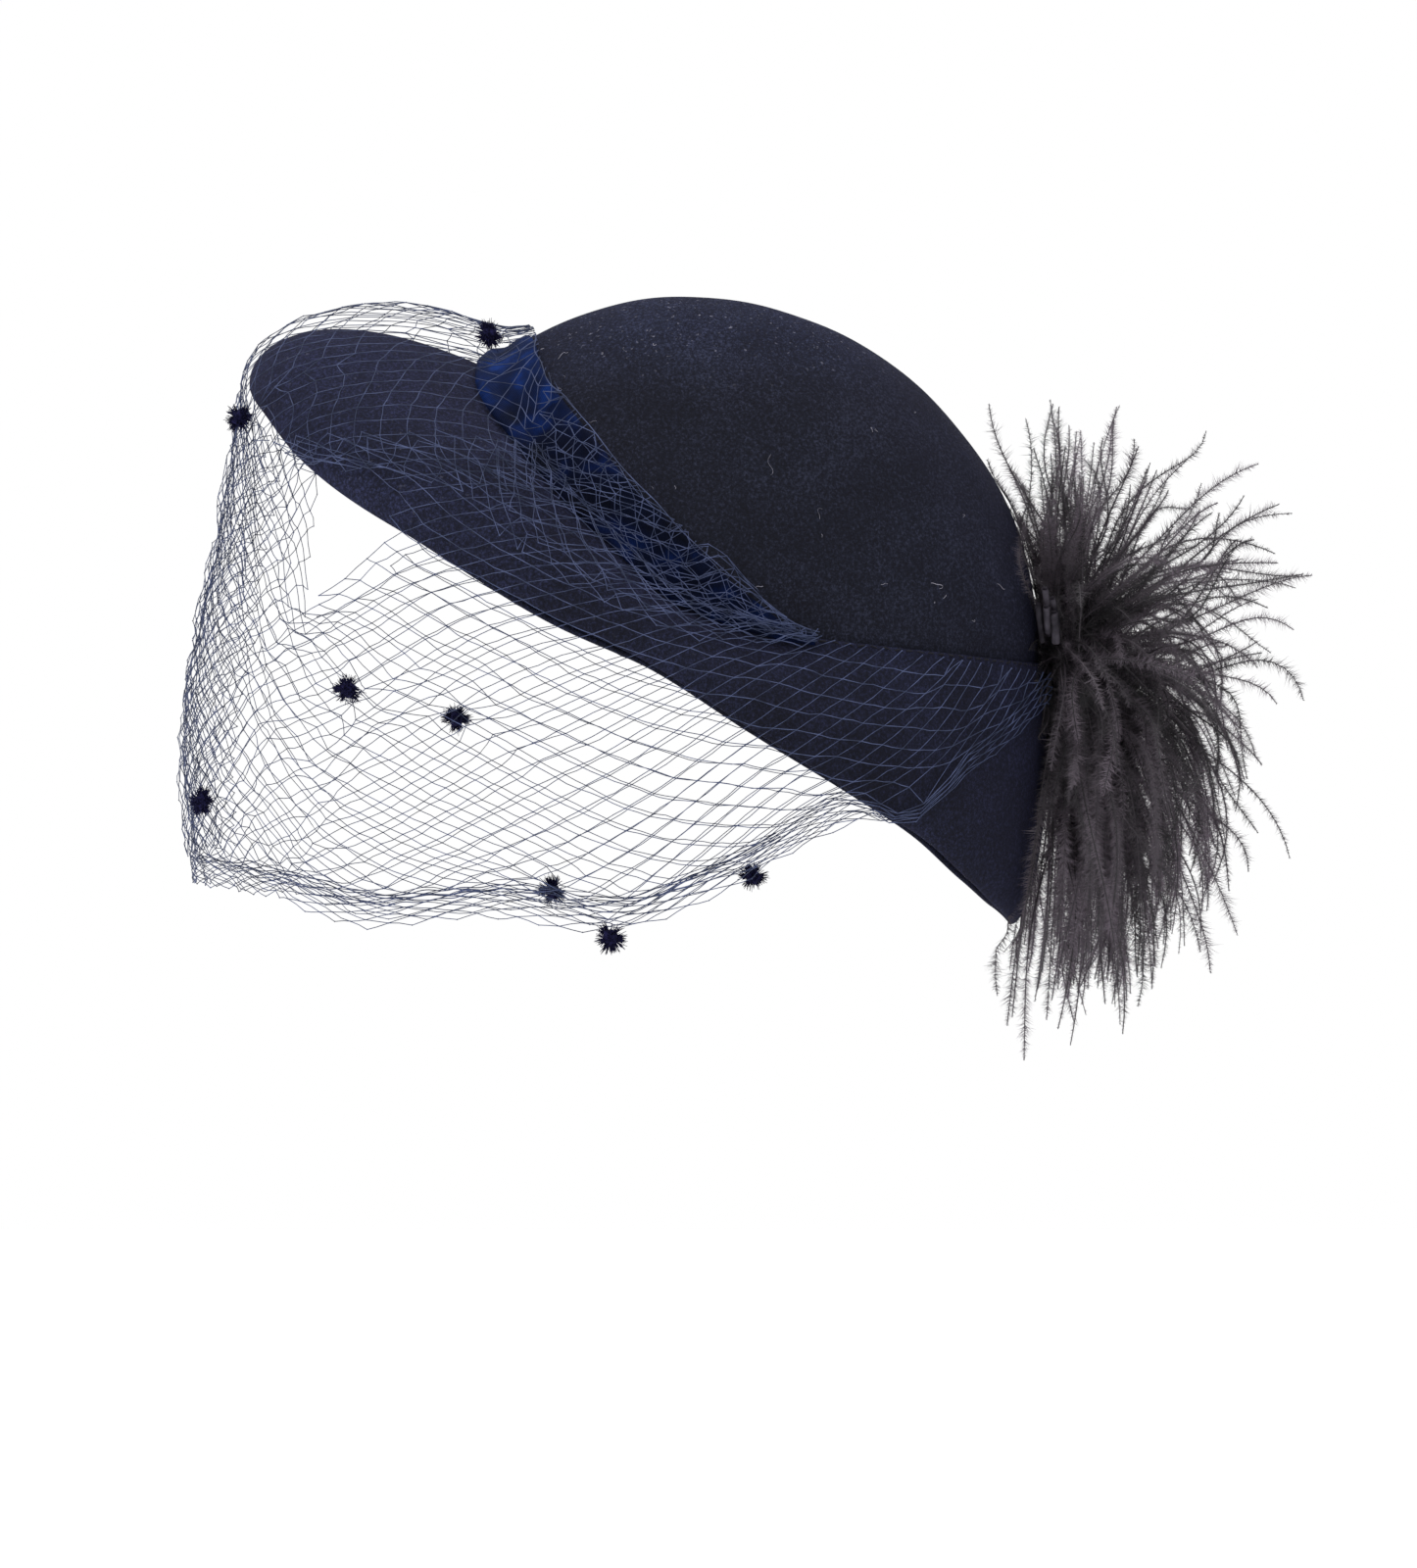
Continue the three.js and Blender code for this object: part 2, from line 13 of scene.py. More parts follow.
import bpy
import numpy as np
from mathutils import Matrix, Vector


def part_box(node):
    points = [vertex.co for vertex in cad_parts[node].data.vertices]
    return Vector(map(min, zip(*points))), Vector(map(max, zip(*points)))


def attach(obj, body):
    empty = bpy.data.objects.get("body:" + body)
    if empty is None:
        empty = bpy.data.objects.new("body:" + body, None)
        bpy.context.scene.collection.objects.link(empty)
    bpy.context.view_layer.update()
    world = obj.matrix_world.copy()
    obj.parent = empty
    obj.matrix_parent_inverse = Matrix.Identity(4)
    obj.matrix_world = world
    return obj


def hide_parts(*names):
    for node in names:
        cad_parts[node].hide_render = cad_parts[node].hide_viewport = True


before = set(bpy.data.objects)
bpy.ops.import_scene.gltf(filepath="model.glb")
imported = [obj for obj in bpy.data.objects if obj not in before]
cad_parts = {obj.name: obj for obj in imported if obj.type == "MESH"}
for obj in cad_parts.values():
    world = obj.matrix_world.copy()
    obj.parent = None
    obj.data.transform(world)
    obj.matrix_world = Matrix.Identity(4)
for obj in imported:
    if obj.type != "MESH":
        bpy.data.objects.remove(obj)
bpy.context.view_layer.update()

LOG = logging.getLogger("hat")
MM = 0.001
GAP = 0.3
FELT = 2.0
Array = np.ndarray
Socket = bpy.types.NodeSocket


# ---------------------------------------------------------------- small helpers


def linear(hex_colour: str) -> tuple[float, float, float, float]:
    """Turns an sRGB colour into the linear one that Blender's sockets take.

    Args:
        hex_colour: six hexadecimal digits, red, green and blue.

    Returns:
        Red, green, blue and an alpha of 1.
    """
    levels = [int(hex_colour[k : k + 2], 16) / 255 for k in (0, 2, 4)]
    red, green, blue = (v / 12.92 if v <= 0.04045 else ((v + 0.055) / 1.055) ** 2.4 for v in levels)
    return red, green, blue, 1.0


def set_inputs(tree: bpy.types.NodeTree, node: bpy.types.Node, inputs: dict) -> None:
    """Sets or links a node's inputs.

    Args:
        tree: the material's node tree.
        node: the node.
        inputs: for each socket name or number, a value to set or an output socket to link.
    """
    for key, value in inputs.items():
        if isinstance(value, Socket):
            tree.links.new(value, node.inputs[key])
        else:
            node.inputs[key].default_value = value


def add_node(tree: bpy.types.NodeTree, kind: str, inputs: dict | None = None, **settings) -> bpy.types.Node:
    """Adds one shader node with its settings and links.

    Args:
        tree: the material's node tree.
        kind: the node's type name.
        inputs: what set_inputs takes.
        settings: the node's own properties.

    Returns:
        The new node.
    """
    node = tree.nodes.new(kind)
    for name, value in settings.items():
        setattr(node, name, value)
    set_inputs(tree, node, inputs or {})
    return node


def new_material(name: str) -> tuple[bpy.types.Material, bpy.types.NodeTree, bpy.types.Node]:
    """Makes a material that holds a plain surface shader.

    Args:
        name: the material's name.

    Returns:
        The material, its node tree and the surface shader.
    """
    material = bpy.data.materials.new(name)
    material.use_nodes = True
    tree = material.node_tree
    tree.nodes.clear()
    shader = add_node(tree, "ShaderNodeBsdfPrincipled")
    add_node(tree, "ShaderNodeOutputMaterial", {"Surface": shader.outputs[0]})
    return material, tree, shader


def ramp(tree: bpy.types.NodeTree, factor: Socket, stops: list[tuple[float, str]]) -> Socket:
    """Adds a colour ramp.

    Args:
        tree: the material's node tree.
        factor: what drives the ramp.
        stops: places from 0 to 1, each with its sRGB colour.

    Returns:
        The ramp's colour.
    """
    node = add_node(tree, "ShaderNodeValToRGB", {"Fac": factor})
    while len(node.color_ramp.elements) < len(stops):
        node.color_ramp.elements.new(0.5)
    for element, (place, colour) in zip(node.color_ramp.elements, stops):
        element.position = place
        element.color = linear(colour)
    return node.outputs[0]


def object_place(tree: bpy.types.NodeTree) -> Socket:
    """Returns the place on the piece, in metres."""
    return add_node(tree, "ShaderNodeTexCoord").outputs["Object"]


def noise(
        tree: bpy.types.NodeTree, place: Socket, scale: float, detail: float,
        roughness: float = 0.5) -> Socket:
    """Returns a noise texture's value at a place."""
    inputs = {"Vector": place, "Scale": scale, "Detail": detail, "Roughness": roughness}
    return add_node(tree, "ShaderNodeTexNoise", inputs).outputs[0]


def rise_share(tree: bpy.types.NodeTree, place: Socket, low: float, high: float) -> Socket:
    """Returns 0 below one height, 1 above another and an S curve between them."""
    height = add_node(tree, "ShaderNodeSeparateXYZ", {0: place}).outputs[2]
    inputs = {0: height, 1: low, 2: high}
    return add_node(tree, "ShaderNodeMapRange", inputs, interpolation_type="SMOOTHSTEP").outputs[0]


def multiply(tree: bpy.types.NodeTree, first: Socket, second: Socket) -> Socket:
    """Returns the product of two colours."""
    inputs = {0: 1.0, 6: first, 7: second}
    return add_node(tree, "ShaderNodeMix", inputs, data_type="RGBA", blend_type="MULTIPLY").outputs[2]


def bump(tree: bpy.types.NodeTree, height: Socket, strength: float, distance: float) -> Socket:
    """Returns a surface direction that is roughened by a height."""
    inputs = {"Strength": strength, "Distance": distance, "Height": height}
    return add_node(tree, "ShaderNodeBump", inputs).outputs[0]


def unit(vectors: Array) -> Array:
    """Returns the vectors at length 1."""
    return vectors / np.maximum(np.linalg.norm(vectors, axis=-1, keepdims=True), 1e-9)


def smooth_step(value: Array, low: float, high: float) -> Array:
    """Returns 0 below low, 1 above high and an S curve between them."""
    t = np.clip((np.asarray(value, float) - low) / (high - low), 0, 1)
    return t * t * (3 - 2 * t)


def blend(a: Array, b: Array, share: Array) -> Array:
    """Returns the mix of two sets of points, share of the way from a to b."""
    return a + (b - a) * np.asarray(share)[..., None]


def evenly(share: Array, values: tuple[float, ...]) -> Array:
    """Returns what evenly spaced values come to at each share of the way along them."""
    return np.interp(share, np.linspace(0, 1, len(values)), values)


class Ripple:
    """Smooth noise in space, made of a few seeded waves."""

    def __init__(self, seed: int, wavelength: float, waves: int = 14) -> None:
        """Draws the waves.

        Args:
            seed: the same seed gives the same noise.
            wavelength: millimetres from crest to crest, about.
            waves: how many waves are added up.
        """
        rng = np.random.default_rng(seed)
        self.ways = rng.normal(size=(waves, 3)) * (2 * math.pi / wavelength) * 0.6
        self.phases = rng.uniform(0, 2 * math.pi, waves)

    def at(self, points: Array) -> Array:
        """Returns the noise at the points, about -1 to 1."""
        return np.sin(points @ self.ways.T + self.phases).mean(axis=-1) * math.sqrt(len(self.phases))


def stray(seed: int, spot: Array) -> Array:
    """Returns a fine and a coarse noise added up."""
    return 0.55 * Ripple(seed, 13).at(spot) + 0.35 * Ripple(seed + 1, 34).at(spot)


def every_other(columns: Array, rows: Array) -> tuple[Array, Array]:
    """Returns the columns and rows of the knots in a grid, of which a diamond net has every other one."""
    columns, rows = np.meshgrid(columns, rows, indexing="ij")
    kept = (columns + rows) % 2 == 0
    return columns[kept], rows[kept]


def mesh_object(
        name: str, points: Array, faces: list, material: bpy.types.Material,
        smooth: bool = True) -> bpy.types.Object:
    """Makes a mesh object from points in millimetres.

    Args:
        name: the piece's name.
        points: one row for each corner.
        faces: the corners' numbers for each face.
        material: its finish.
        smooth: whether it is shaded smooth.

    Returns:
        The object, linked to the scene.
    """
    mesh = bpy.data.meshes.new(name)
    corners = np.asarray(points, float).reshape(-1, 3) * MM
    mesh.from_pydata(corners.tolist(), [], faces.tolist() if isinstance(faces, np.ndarray) else faces)
    if smooth:
        mesh.polygons.foreach_set("use_smooth", [True] * len(mesh.polygons))
    mesh.materials.append(material)
    mesh.update()
    piece = bpy.data.objects.new(name, mesh)
    bpy.context.scene.collection.objects.link(piece)
    return piece


def set_values(piece: bpy.types.Object, name: str, values: Array) -> None:
    """Gives each of a piece's corners its own value, for the finish to read."""
    attribute = piece.data.attributes.new(name, "FLOAT", "POINT")
    attribute.data.foreach_set("value", values.astype(np.float32))


def grid_faces(rows: int, columns: int, wraps_rows: bool, wraps_columns: bool) -> Array:
    """Returns the four-cornered faces of a grid of points.

    Args:
        rows: the number of rows of points.
        columns: the number of points in a row.
        wraps_rows: whether the last row joins the first.
        wraps_columns: whether each row is a closed ring.

    Returns:
        One row of four corner numbers for each face.
    """
    r = np.arange(rows if wraps_rows else rows - 1)[:, None]
    c = np.arange(columns if wraps_columns else columns - 1)[None, :]
    r2, c2 = (r + 1) % rows, (c + 1) % columns
    corners = [r * columns + c, r2 * columns + c, r2 * columns + c2, r * columns + c2]
    return np.stack(corners, -1).reshape(-1, 4)


def tubes(lines: Array, radii: Array, sides: int) -> tuple[Array, Array]:
    """Returns the corners and faces of many thin tubes, all with as many points along them.

    Args:
        lines: tube, point along it, coordinate.
        radii: tube, point along it.
        sides: how many sides each tube has.

    Returns:
        The corners and the faces, numbered from 0.
    """
    count, steps = lines.shape[:2]
    along = unit(np.gradient(lines, axis=1))
    helper = np.where(np.abs(along[..., 2:3]) > 0.8, np.array([1.0, 0, 0]), np.array([0, 0, 1.0]))
    across = unit(np.cross(along, helper))
    third = np.cross(along, across)
    angles = np.arange(sides) * 2 * math.pi / sides
    angles = angles[:, None]
    ring = across[:, :, None, :] * np.cos(angles) + third[:, :, None, :] * np.sin(angles)
    corners = lines[:, :, None, :] + ring * radii[:, :, None, None]
    one = grid_faces(steps, sides, False, True)
    faces = (one[None] + (np.arange(count) * steps * sides)[:, None, None]).reshape(-1, 4)
    return corners.reshape(-1, 3), faces


# ---------------------------------------------------------------- finishes


@dataclass(frozen=True)
class WoolFelt:
    """Blocked and brushed wool felt: matt, mottled by its fibres, flecked with lint on top, painted lighter
    on top and darker towards the bottom as painted light and shade, with a violet bloom.
    """

    name: str
    deep: str
    body: str
    bloom: str
    low: str  # what the colours are multiplied by at the bottom: the painted shade
    fade: tuple[float, float]  # the heights between which the painted shade lifts and the lint specks come in, in millimetres
    lint: float
    fibre: float = 0.5  # millimetres between fibres, drawn coarser than the real 0.05 so that it shows

    def material(self) -> bpy.types.Material:
        """Returns the felt's material."""
        material, tree, shader = new_material(self.name)
        place = object_place(tree)
        cloud = noise(tree, place, scale=38.0, detail=4.0, roughness=0.6)
        nap = noise(tree, place, scale=1 / (self.fibre * MM * 2), detail=4.0, roughness=0.85)
        mixed = add_node(tree, "ShaderNodeMix", {0: 0.82, 2: cloud, 3: nap}, data_type="FLOAT").outputs[0]
        tone = ramp(tree, mixed, [(0.42, self.deep), (0.52, self.body), (0.61, self.bloom)])
        # Painted light and shade: below the lower height the colours are darkened by low, and above the
        # higher one they stay light. The same mask puts the lint specks on top.
        painted_light_and_lint = rise_share(tree, place, self.fade[0] * MM, self.fade[1] * MM)
        painted_shade_tone = multiply(tree, tone, ramp(tree, painted_light_and_lint, [(0.0, self.low), (1.0, "ffffff")]))
        specks = {0: noise(tree, place, scale=640.0, detail=2.0), 1: 0.66, 2: 0.78, 3: 0.0, 4: self.lint}
        lint = add_node(tree, "ShaderNodeMapRange", specks).outputs[0]
        dusty = add_node(tree, "ShaderNodeMath", {0: lint, 1: painted_light_and_lint, 2: 0.02}, operation="MULTIPLY_ADD")
        layers = {0: dusty.outputs[0], 6: painted_shade_tone, 7: linear("8c8c9c")}
        fuzz = noise(tree, place, scale=1 / (self.fibre * MM), detail=5.0, roughness=0.8)
        set_inputs(tree, shader, {
            "Base Color": add_node(tree, "ShaderNodeMix", layers, data_type="RGBA").outputs[2],
            "Normal": bump(tree, fuzz, strength=0.7, distance=0.0006),
            "Roughness": 0.95, "Specular IOR Level": 0.05,
            "Sheen Weight": 0.04, "Sheen Roughness": 0.4, "Sheen Tint": linear("8a84d8")})
        return material


@dataclass(frozen=True)
class RibbonWeave:
    """Soft woven ribbon: fine ribs across its width, brightest where it turns up to the light."""

    name: str = "ribbon_weave"
    deep: str = "030b22"
    body: str = "051840"
    light: str = "08317a"
    low: str = "88888c"  # what the colours are multiplied by at the bottom of the fade
    fade: tuple[float, float] = (-45, -16)  # the heights between which the light fades in, in millimetres
    rib: float = 0.9  # millimetres from rib to rib, drawn a little coarse

    def material(self) -> bpy.types.Material:
        """Returns the ribbon's material."""
        material, tree, shader = new_material(self.name)
        place = object_place(tree)
        along = add_node(tree, "ShaderNodeAttribute", attribute_name="along").outputs["Fac"]
        turns = add_node(tree, "ShaderNodeMath", {0: along, 1: 2 * math.pi / self.rib}, operation="MULTIPLY")
        rib = add_node(tree, "ShaderNodeMath", {0: turns.outputs[0]}, operation="SINE").outputs[0]
        cloud = noise(tree, place, scale=90.0, detail=4.0)
        tone = ramp(tree, cloud, [(0.3, self.deep), (0.5, self.body), (0.7, self.light)])
        up = rise_share(tree, place, self.fade[0] * MM, self.fade[1] * MM)
        set_inputs(tree, shader, {
            "Base Color": multiply(tree, tone, ramp(tree, up, [(0.0, self.low), (1.0, "ffffff")])),
            "Normal": bump(tree, rib, strength=0.35, distance=0.0002),
            "Roughness": 0.7, "Specular IOR Level": 0.05,
            "Sheen Weight": 0.02, "Sheen Tint": linear("2a5ac8")})
        return material


@dataclass(frozen=True)
class TwistedThread:
    """Thread, loose fibres and quill ends: dull, and paler in patches."""

    name: str
    deep: str
    light: str
    roughness: float = 0.6

    def material(self) -> bpy.types.Material:
        """Returns the material."""
        material, tree, shader = new_material(self.name)
        cloud = noise(tree, object_place(tree), scale=160.0, detail=3.0)
        tone = ramp(tree, cloud, [(0.35, self.deep), (0.65, self.light)])
        set_inputs(tree, shader, {
            "Base Color": tone, "Roughness": self.roughness, "Specular IOR Level": 0.15})
        return material


@dataclass(frozen=True)
class ChenillePile:
    """Cut pile of a chenille dot: soft, deep navy, darker between its tufts."""

    name: str = "chenille_pile"

    def material(self) -> bpy.types.Material:
        """Returns the pile's material."""
        material, tree, shader = new_material(self.name)
        cloud = noise(tree, object_place(tree), scale=1200.0, detail=2.0)
        tone = ramp(tree, cloud, [(0.35, "07071a"), (0.7, "1b1a3c")])
        set_inputs(tree, shader, {"Base Color": tone, "Roughness": 1.0, "Specular IOR Level": 0.1})
        return material


@dataclass(frozen=True)
class OstrichFlue:
    """Dyed ostrich strands: charcoal with a brown cast, each strand of its own shade."""

    name: str
    deep: str
    light: str

    def material(self) -> bpy.types.Material:
        """Returns the feather's material."""
        material, tree, shader = new_material(self.name)
        shade = add_node(tree, "ShaderNodeAttribute", attribute_name="shade").outputs["Fac"]
        tone = ramp(tree, shade, [(0.0, self.deep), (1.0, self.light)])
        set_inputs(tree, shader, {"Base Color": tone, "Roughness": 0.55, "Specular IOR Level": 0.4})
        return material


# ---------------------------------------------------------------- the hat's shape


class Curve:
    """A smooth line through a table of turns and values, the same on both sides of the hat."""

    def __init__(self, turns: tuple[float, ...], values: tuple[float, ...]) -> None:
        """Works out the slope at each row, which never overshoots its neighbours.

        Args:
            turns: the table's turns, rising.
            values: the value at each turn.
        """
        self.turns, self.values = np.array(turns, float), np.array(values, float)
        steep = np.diff(self.values) / np.diff(self.turns)
        rise, fall = steep[:-1], steep[1:]
        same = rise * fall > 0
        inner = np.where(same, 2 * rise * fall / np.where(same, rise + fall, 1), 0)
        self.slopes = np.concatenate([[0], inner, [0]])

    def at(self, turn: Array) -> Array:
        """Returns the value at each turn."""
        where = np.clip(np.abs(turn), self.turns[0], self.turns[-1])
        row = np.clip(np.searchsorted(self.turns, where, side="right") - 1, 0, len(self.turns) - 2)
        span = self.turns[row + 1] - self.turns[row]
        s = (where - self.turns[row]) / span
        a, b = self.values[row], self.values[row + 1]
        da, db = self.slopes[row] * span, self.slopes[row + 1] * span
        return (
            a * (2 * s**3 - 3 * s**2 + 1) + da * (s**3 - 2 * s**2 + s)
            + b * (3 * s**2 - 2 * s**3) + db * (s**3 - s**2)
        )


@dataclass
class HatShape:
    """The faces that the pieces follow: crown, brim, ribbon and veil."""

    half_width: float = 78.0
    front: float = 99.0
    back: float = 109.5
    height: float = 109.0
    brim_half_width: float = 100.0
    brim_front: float = 120.0
    brim_back: float = 113.0
    brim_middle: float = -12.0
    blunt: float = 0.12
    lap: float = 3.0
    band_end: float = 111.0
    sections: tuple[float, ...] = (0, 15, 30, 52, 76, 90, 107, 127, 139, 151, 163, 180)
    join_heights: tuple[float, ...] = (
        -20.5, -22.8, -29.6, -45, -75, -95, -105.5, -109.5, -111.2, -112.6, -113.4, -114)
    edge_heights: tuple[float, ...] = (
        -25.6, -33, -48, -69.5, -96, -110, -131, -153, -164, -176.5, -185, -189.5)
    arches: tuple[float, ...] = (15.3, 15.2, 14, 11, 8, 6.5, 5, 4.5, 4.6, 5, 5.4, 5.6)
    band_sections: tuple[float, ...] = (0, 18, 33, 53, 70, 80, 90, 100, 111)
    band_heights: tuple[float, ...] = (-11, -11.6, -14.4, -25.6, -42, -57, -72, -90, -102.5)
    veil_sections: tuple[float, ...] = (0, 30, 50, 68, 85, 106, 120, 130, 140, 150, 160, 168)
    lofts: tuple[float, ...] = (10, 9, 6, 3.5, 2.4, 2, 1.6, 1.4, 1.2, 1, 1, 1)
    brim_shares: tuple[float, ...] = (1, 1, 1, 1, 1, 1, 1, 1, 0.45, 0.24, 0.12, 0.08)
    hem_heights: tuple[float, ...] = (
        -177, -181.5, -190, -187, -191.5, -177, -162.5, -156, -150, -150, -150, -150)
    hem_reaches: tuple[float, ...] = (14, 8, -1, -8, -9, -3, 1, 1.5, 1.5, 1.5, 1.5, 1.5)
    bellies: tuple[float, ...] = (8, 7, 5, 4, 3, 1.5, 0.5, 0, 0, 0, 0, 0)
    spring_z: float = field(init=False)

    def __post_init__(self) -> None:
        """Turns the tables into smooth lines."""
        self.spring_z = FELT - self.height
        self.join_z = Curve(self.sections, self.join_heights)
        self.edge_z = Curve(self.sections, self.edge_heights)
        self.arch = Curve(self.sections, self.arches)
        self.band_z = Curve(self.band_sections, self.band_heights)
        self.loft = Curve(self.veil_sections, self.lofts)
        self.brim_share = Curve(self.veil_sections, self.brim_shares)
        self.hem_z = Curve(self.veil_sections, self.hem_heights)
        self.hem_reach = Curve(self.veil_sections, self.hem_reaches)
        self.belly = Curve(self.veil_sections, self.bellies)

    def crown_point(self, turn: Array, z: Array, stand: Array = 0.0) -> Array:
        """Returns points on the crown's outer face, stood off it by some millimetres."""
        turn, z, stand = np.broadcast_arrays(*(np.asarray(v, float) for v in (turn, z, stand)))
        angle = np.radians(turn)
        rise = np.maximum(z - self.spring_z, 0) / self.height
        spread = np.sqrt(np.maximum(1 - rise**2, 0))
        length = np.where(np.cos(angle) > 0, self.front, self.back)
        x = self.half_width * spread * np.sin(angle)
        y = -length * spread * np.cos(angle)
        out = unit(np.stack([x / self.half_width**2, y / length**2, rise / self.height], -1))
        return np.stack([x, y, z], -1) + out * stand[..., None]

    def brim_face(self, turn: Array, share: Array) -> Array:
        """Returns points on the brim's outer face, share of the way from the crown to its edge."""
        turn, share = np.broadcast_arrays(*(np.asarray(v, float) for v in (turn, share)))
        sine, cosine = np.sin(np.radians(turn)), np.cos(np.radians(turn))
        w = np.sin(share * math.pi / 2)
        join = self.crown_point(turn, self.join_z.at(turn), GAP + FELT)
        length = np.where(cosine > 0, self.brim_front, self.brim_back)
        edge = np.stack([
            self.brim_half_width * sine * (1 + self.blunt * np.maximum(cosine, 0) ** 2),
            self.brim_middle - length * cosine,
            self.edge_z.at(turn)], -1)
        chord = edge - join
        lift = unit(np.cross(chord, np.stack([cosine, sine, 0 * sine], -1)))
        peak = (2 / 3) * math.sqrt(1 / 3)
        arch = self.arch.at(turn) * w * np.sqrt(np.maximum(1 - w, 0)) / peak
        return blend(join, edge, w) + lift * arch[..., None]

    def brim_point(self, turn: Array, share: Array, stand: Array = 0.0) -> Array:
        """Returns points on the brim's outer face, stood off it by some millimetres."""
        turn, share, stand = np.broadcast_arrays(*(np.asarray(v, float) for v in (turn, share, stand)))
        low, high = np.maximum(share - 0.01, 0), np.minimum(share + 0.01, 1)
        down = self.brim_face(turn, high) - self.brim_face(turn, low)
        round_ = self.brim_face(turn + 0.5, share) - self.brim_face(turn - 0.5, share)
        return self.brim_face(turn, share) + unit(np.cross(down, round_)) * stand[..., None]

    def veil_point(self, turn: Array, stage: Array) -> Array:
        """Returns points of the veil: stage 0 to 1 on the ribbon, 1 to 2 over the brim, 2 to 3 below it."""
        turn, stage = np.broadcast_arrays(*(np.asarray(v, float) for v in (turn, stage)))
        side = np.abs(turn)
        join_z, top_z = self.join_z.at(turn), self.band_z.at(turn)
        past = smooth_step(side, self.band_end + 1, self.band_end + 9)
        rise = np.maximum(top_z - join_z, self.lap) * (1 - past) + self.lap * past + 1
        tip = smooth_step(side, 95, 108)
        top_stand = (3.4 * (1 - tip) + 5.4 * tip) * (1 - past) + 3.8 * past
        foot_stand = 5.4 * (1 - past) + 3.8 * past
        taut = 1 - smooth_step(side, 10, 70)
        on_crown = np.clip(stage, 0, 1)
        valley = self.brim_point(turn, 0, 2.5 + self.loft.at(turn))
        stand = top_stand + (foot_stand - top_stand) * on_crown
        close = blend(self.crown_point(turn, join_z + rise * (1 - on_crown), stand), valley, on_crown**3)
        straight = blend(self.crown_point(turn, join_z + rise, top_stand), valley, on_crown)
        upper = blend(close, straight, taut)
        share = np.clip(stage - 1, 0, 1) * self.brim_share.at(turn)
        w = np.sin(share * math.pi / 2)
        middle = self.brim_point(turn, share, 2.5 + self.loft.at(turn) * (1 - w * w) ** 2)
        start = self.brim_point(turn, self.brim_share.at(turn), 2.5)
        out = unit((start - [0, self.brim_middle, 0]) * [1, 1, 0])
        drop = np.clip(stage - 2, 0, 1)
        hem = start + out * self.hem_reach.at(turn)[..., None]
        hem[..., 2] = self.hem_z.at(turn)
        bow = self.belly.at(turn) * np.sin(math.pi * drop**1.6)
        lower = blend(start, hem, drop) + out * bow[..., None]
        return np.where((stage < 1)[..., None], upper, np.where((stage < 2)[..., None], middle, lower))

    def veil_out(self, turn: Array, stage: Array) -> Array:
        """Returns the veil's outward directions."""
        down = self.veil_point(turn, stage + 0.02) - self.veil_point(turn, stage - 0.02)
        round_ = self.veil_point(turn + 0.5, stage) - self.veil_point(turn - 0.5, stage)
        return unit(np.cross(down, round_))


SHAPE = HatShape()


# ---------------------------------------------------------------- felt crown and brim


@dataclass
class FeltCrown:
    """The domed crown, a shell of felt with the slight dents of hand blocking."""

    columns: int = 180
    rows: int = 60
    dent: float = 0.5

    def skin(self, stand: float) -> Array:
        """Returns rows of points from the top of the crown to its foot."""
        turn = np.linspace(-180, 180, self.columns, endpoint=False)[None, :]
        rise = (SHAPE.join_z.at(turn) - SHAPE.spring_z) / SHAPE.height
        deepest = np.where(rise > 0, np.arccos(np.clip(rise, -1, 1)), math.pi / 2 - rise)
        angle = np.linspace(0.004, 1, self.rows)[:, None] * deepest
        z = SHAPE.spring_z + SHAPE.height * np.where(angle < math.pi / 2, np.cos(angle), math.pi / 2 - angle)
        return SHAPE.crown_point(turn + 0 * z, z, stand)

    def build(self) -> bpy.types.Object:
        """Builds the crown.

        Returns:
            The crown's object.
        """
        outer, inner = self.skin(0.0), self.skin(-FELT)[::-1]
        points = np.concatenate([outer, inner])
        middle = np.array([0, 5.0, -60.0])
        turn = np.degrees(np.arctan2(points[..., 0], -points[..., 1]))
        fade = smooth_step(np.abs(points[..., 2] - SHAPE.join_z.at(turn)), 2, 14)
        dent = Ripple(3, 46).at(points) * self.dent * fade * 0.6
        points = points + unit(points - middle) * dent[..., None]
        faces = grid_faces(len(points), self.columns, True, True)
        # low and fade paint the crown darker towards its foot and lighter on top: painted shade and painted
        # light.
        felt = WoolFelt(
            "crown_felt", deep="090b15", body="141827", bloom="2f344a",
            low="ccc8c0", fade=(-34, -4), lint=0.6)
        return mesh_object("felt_crown", points, faces, felt.material())


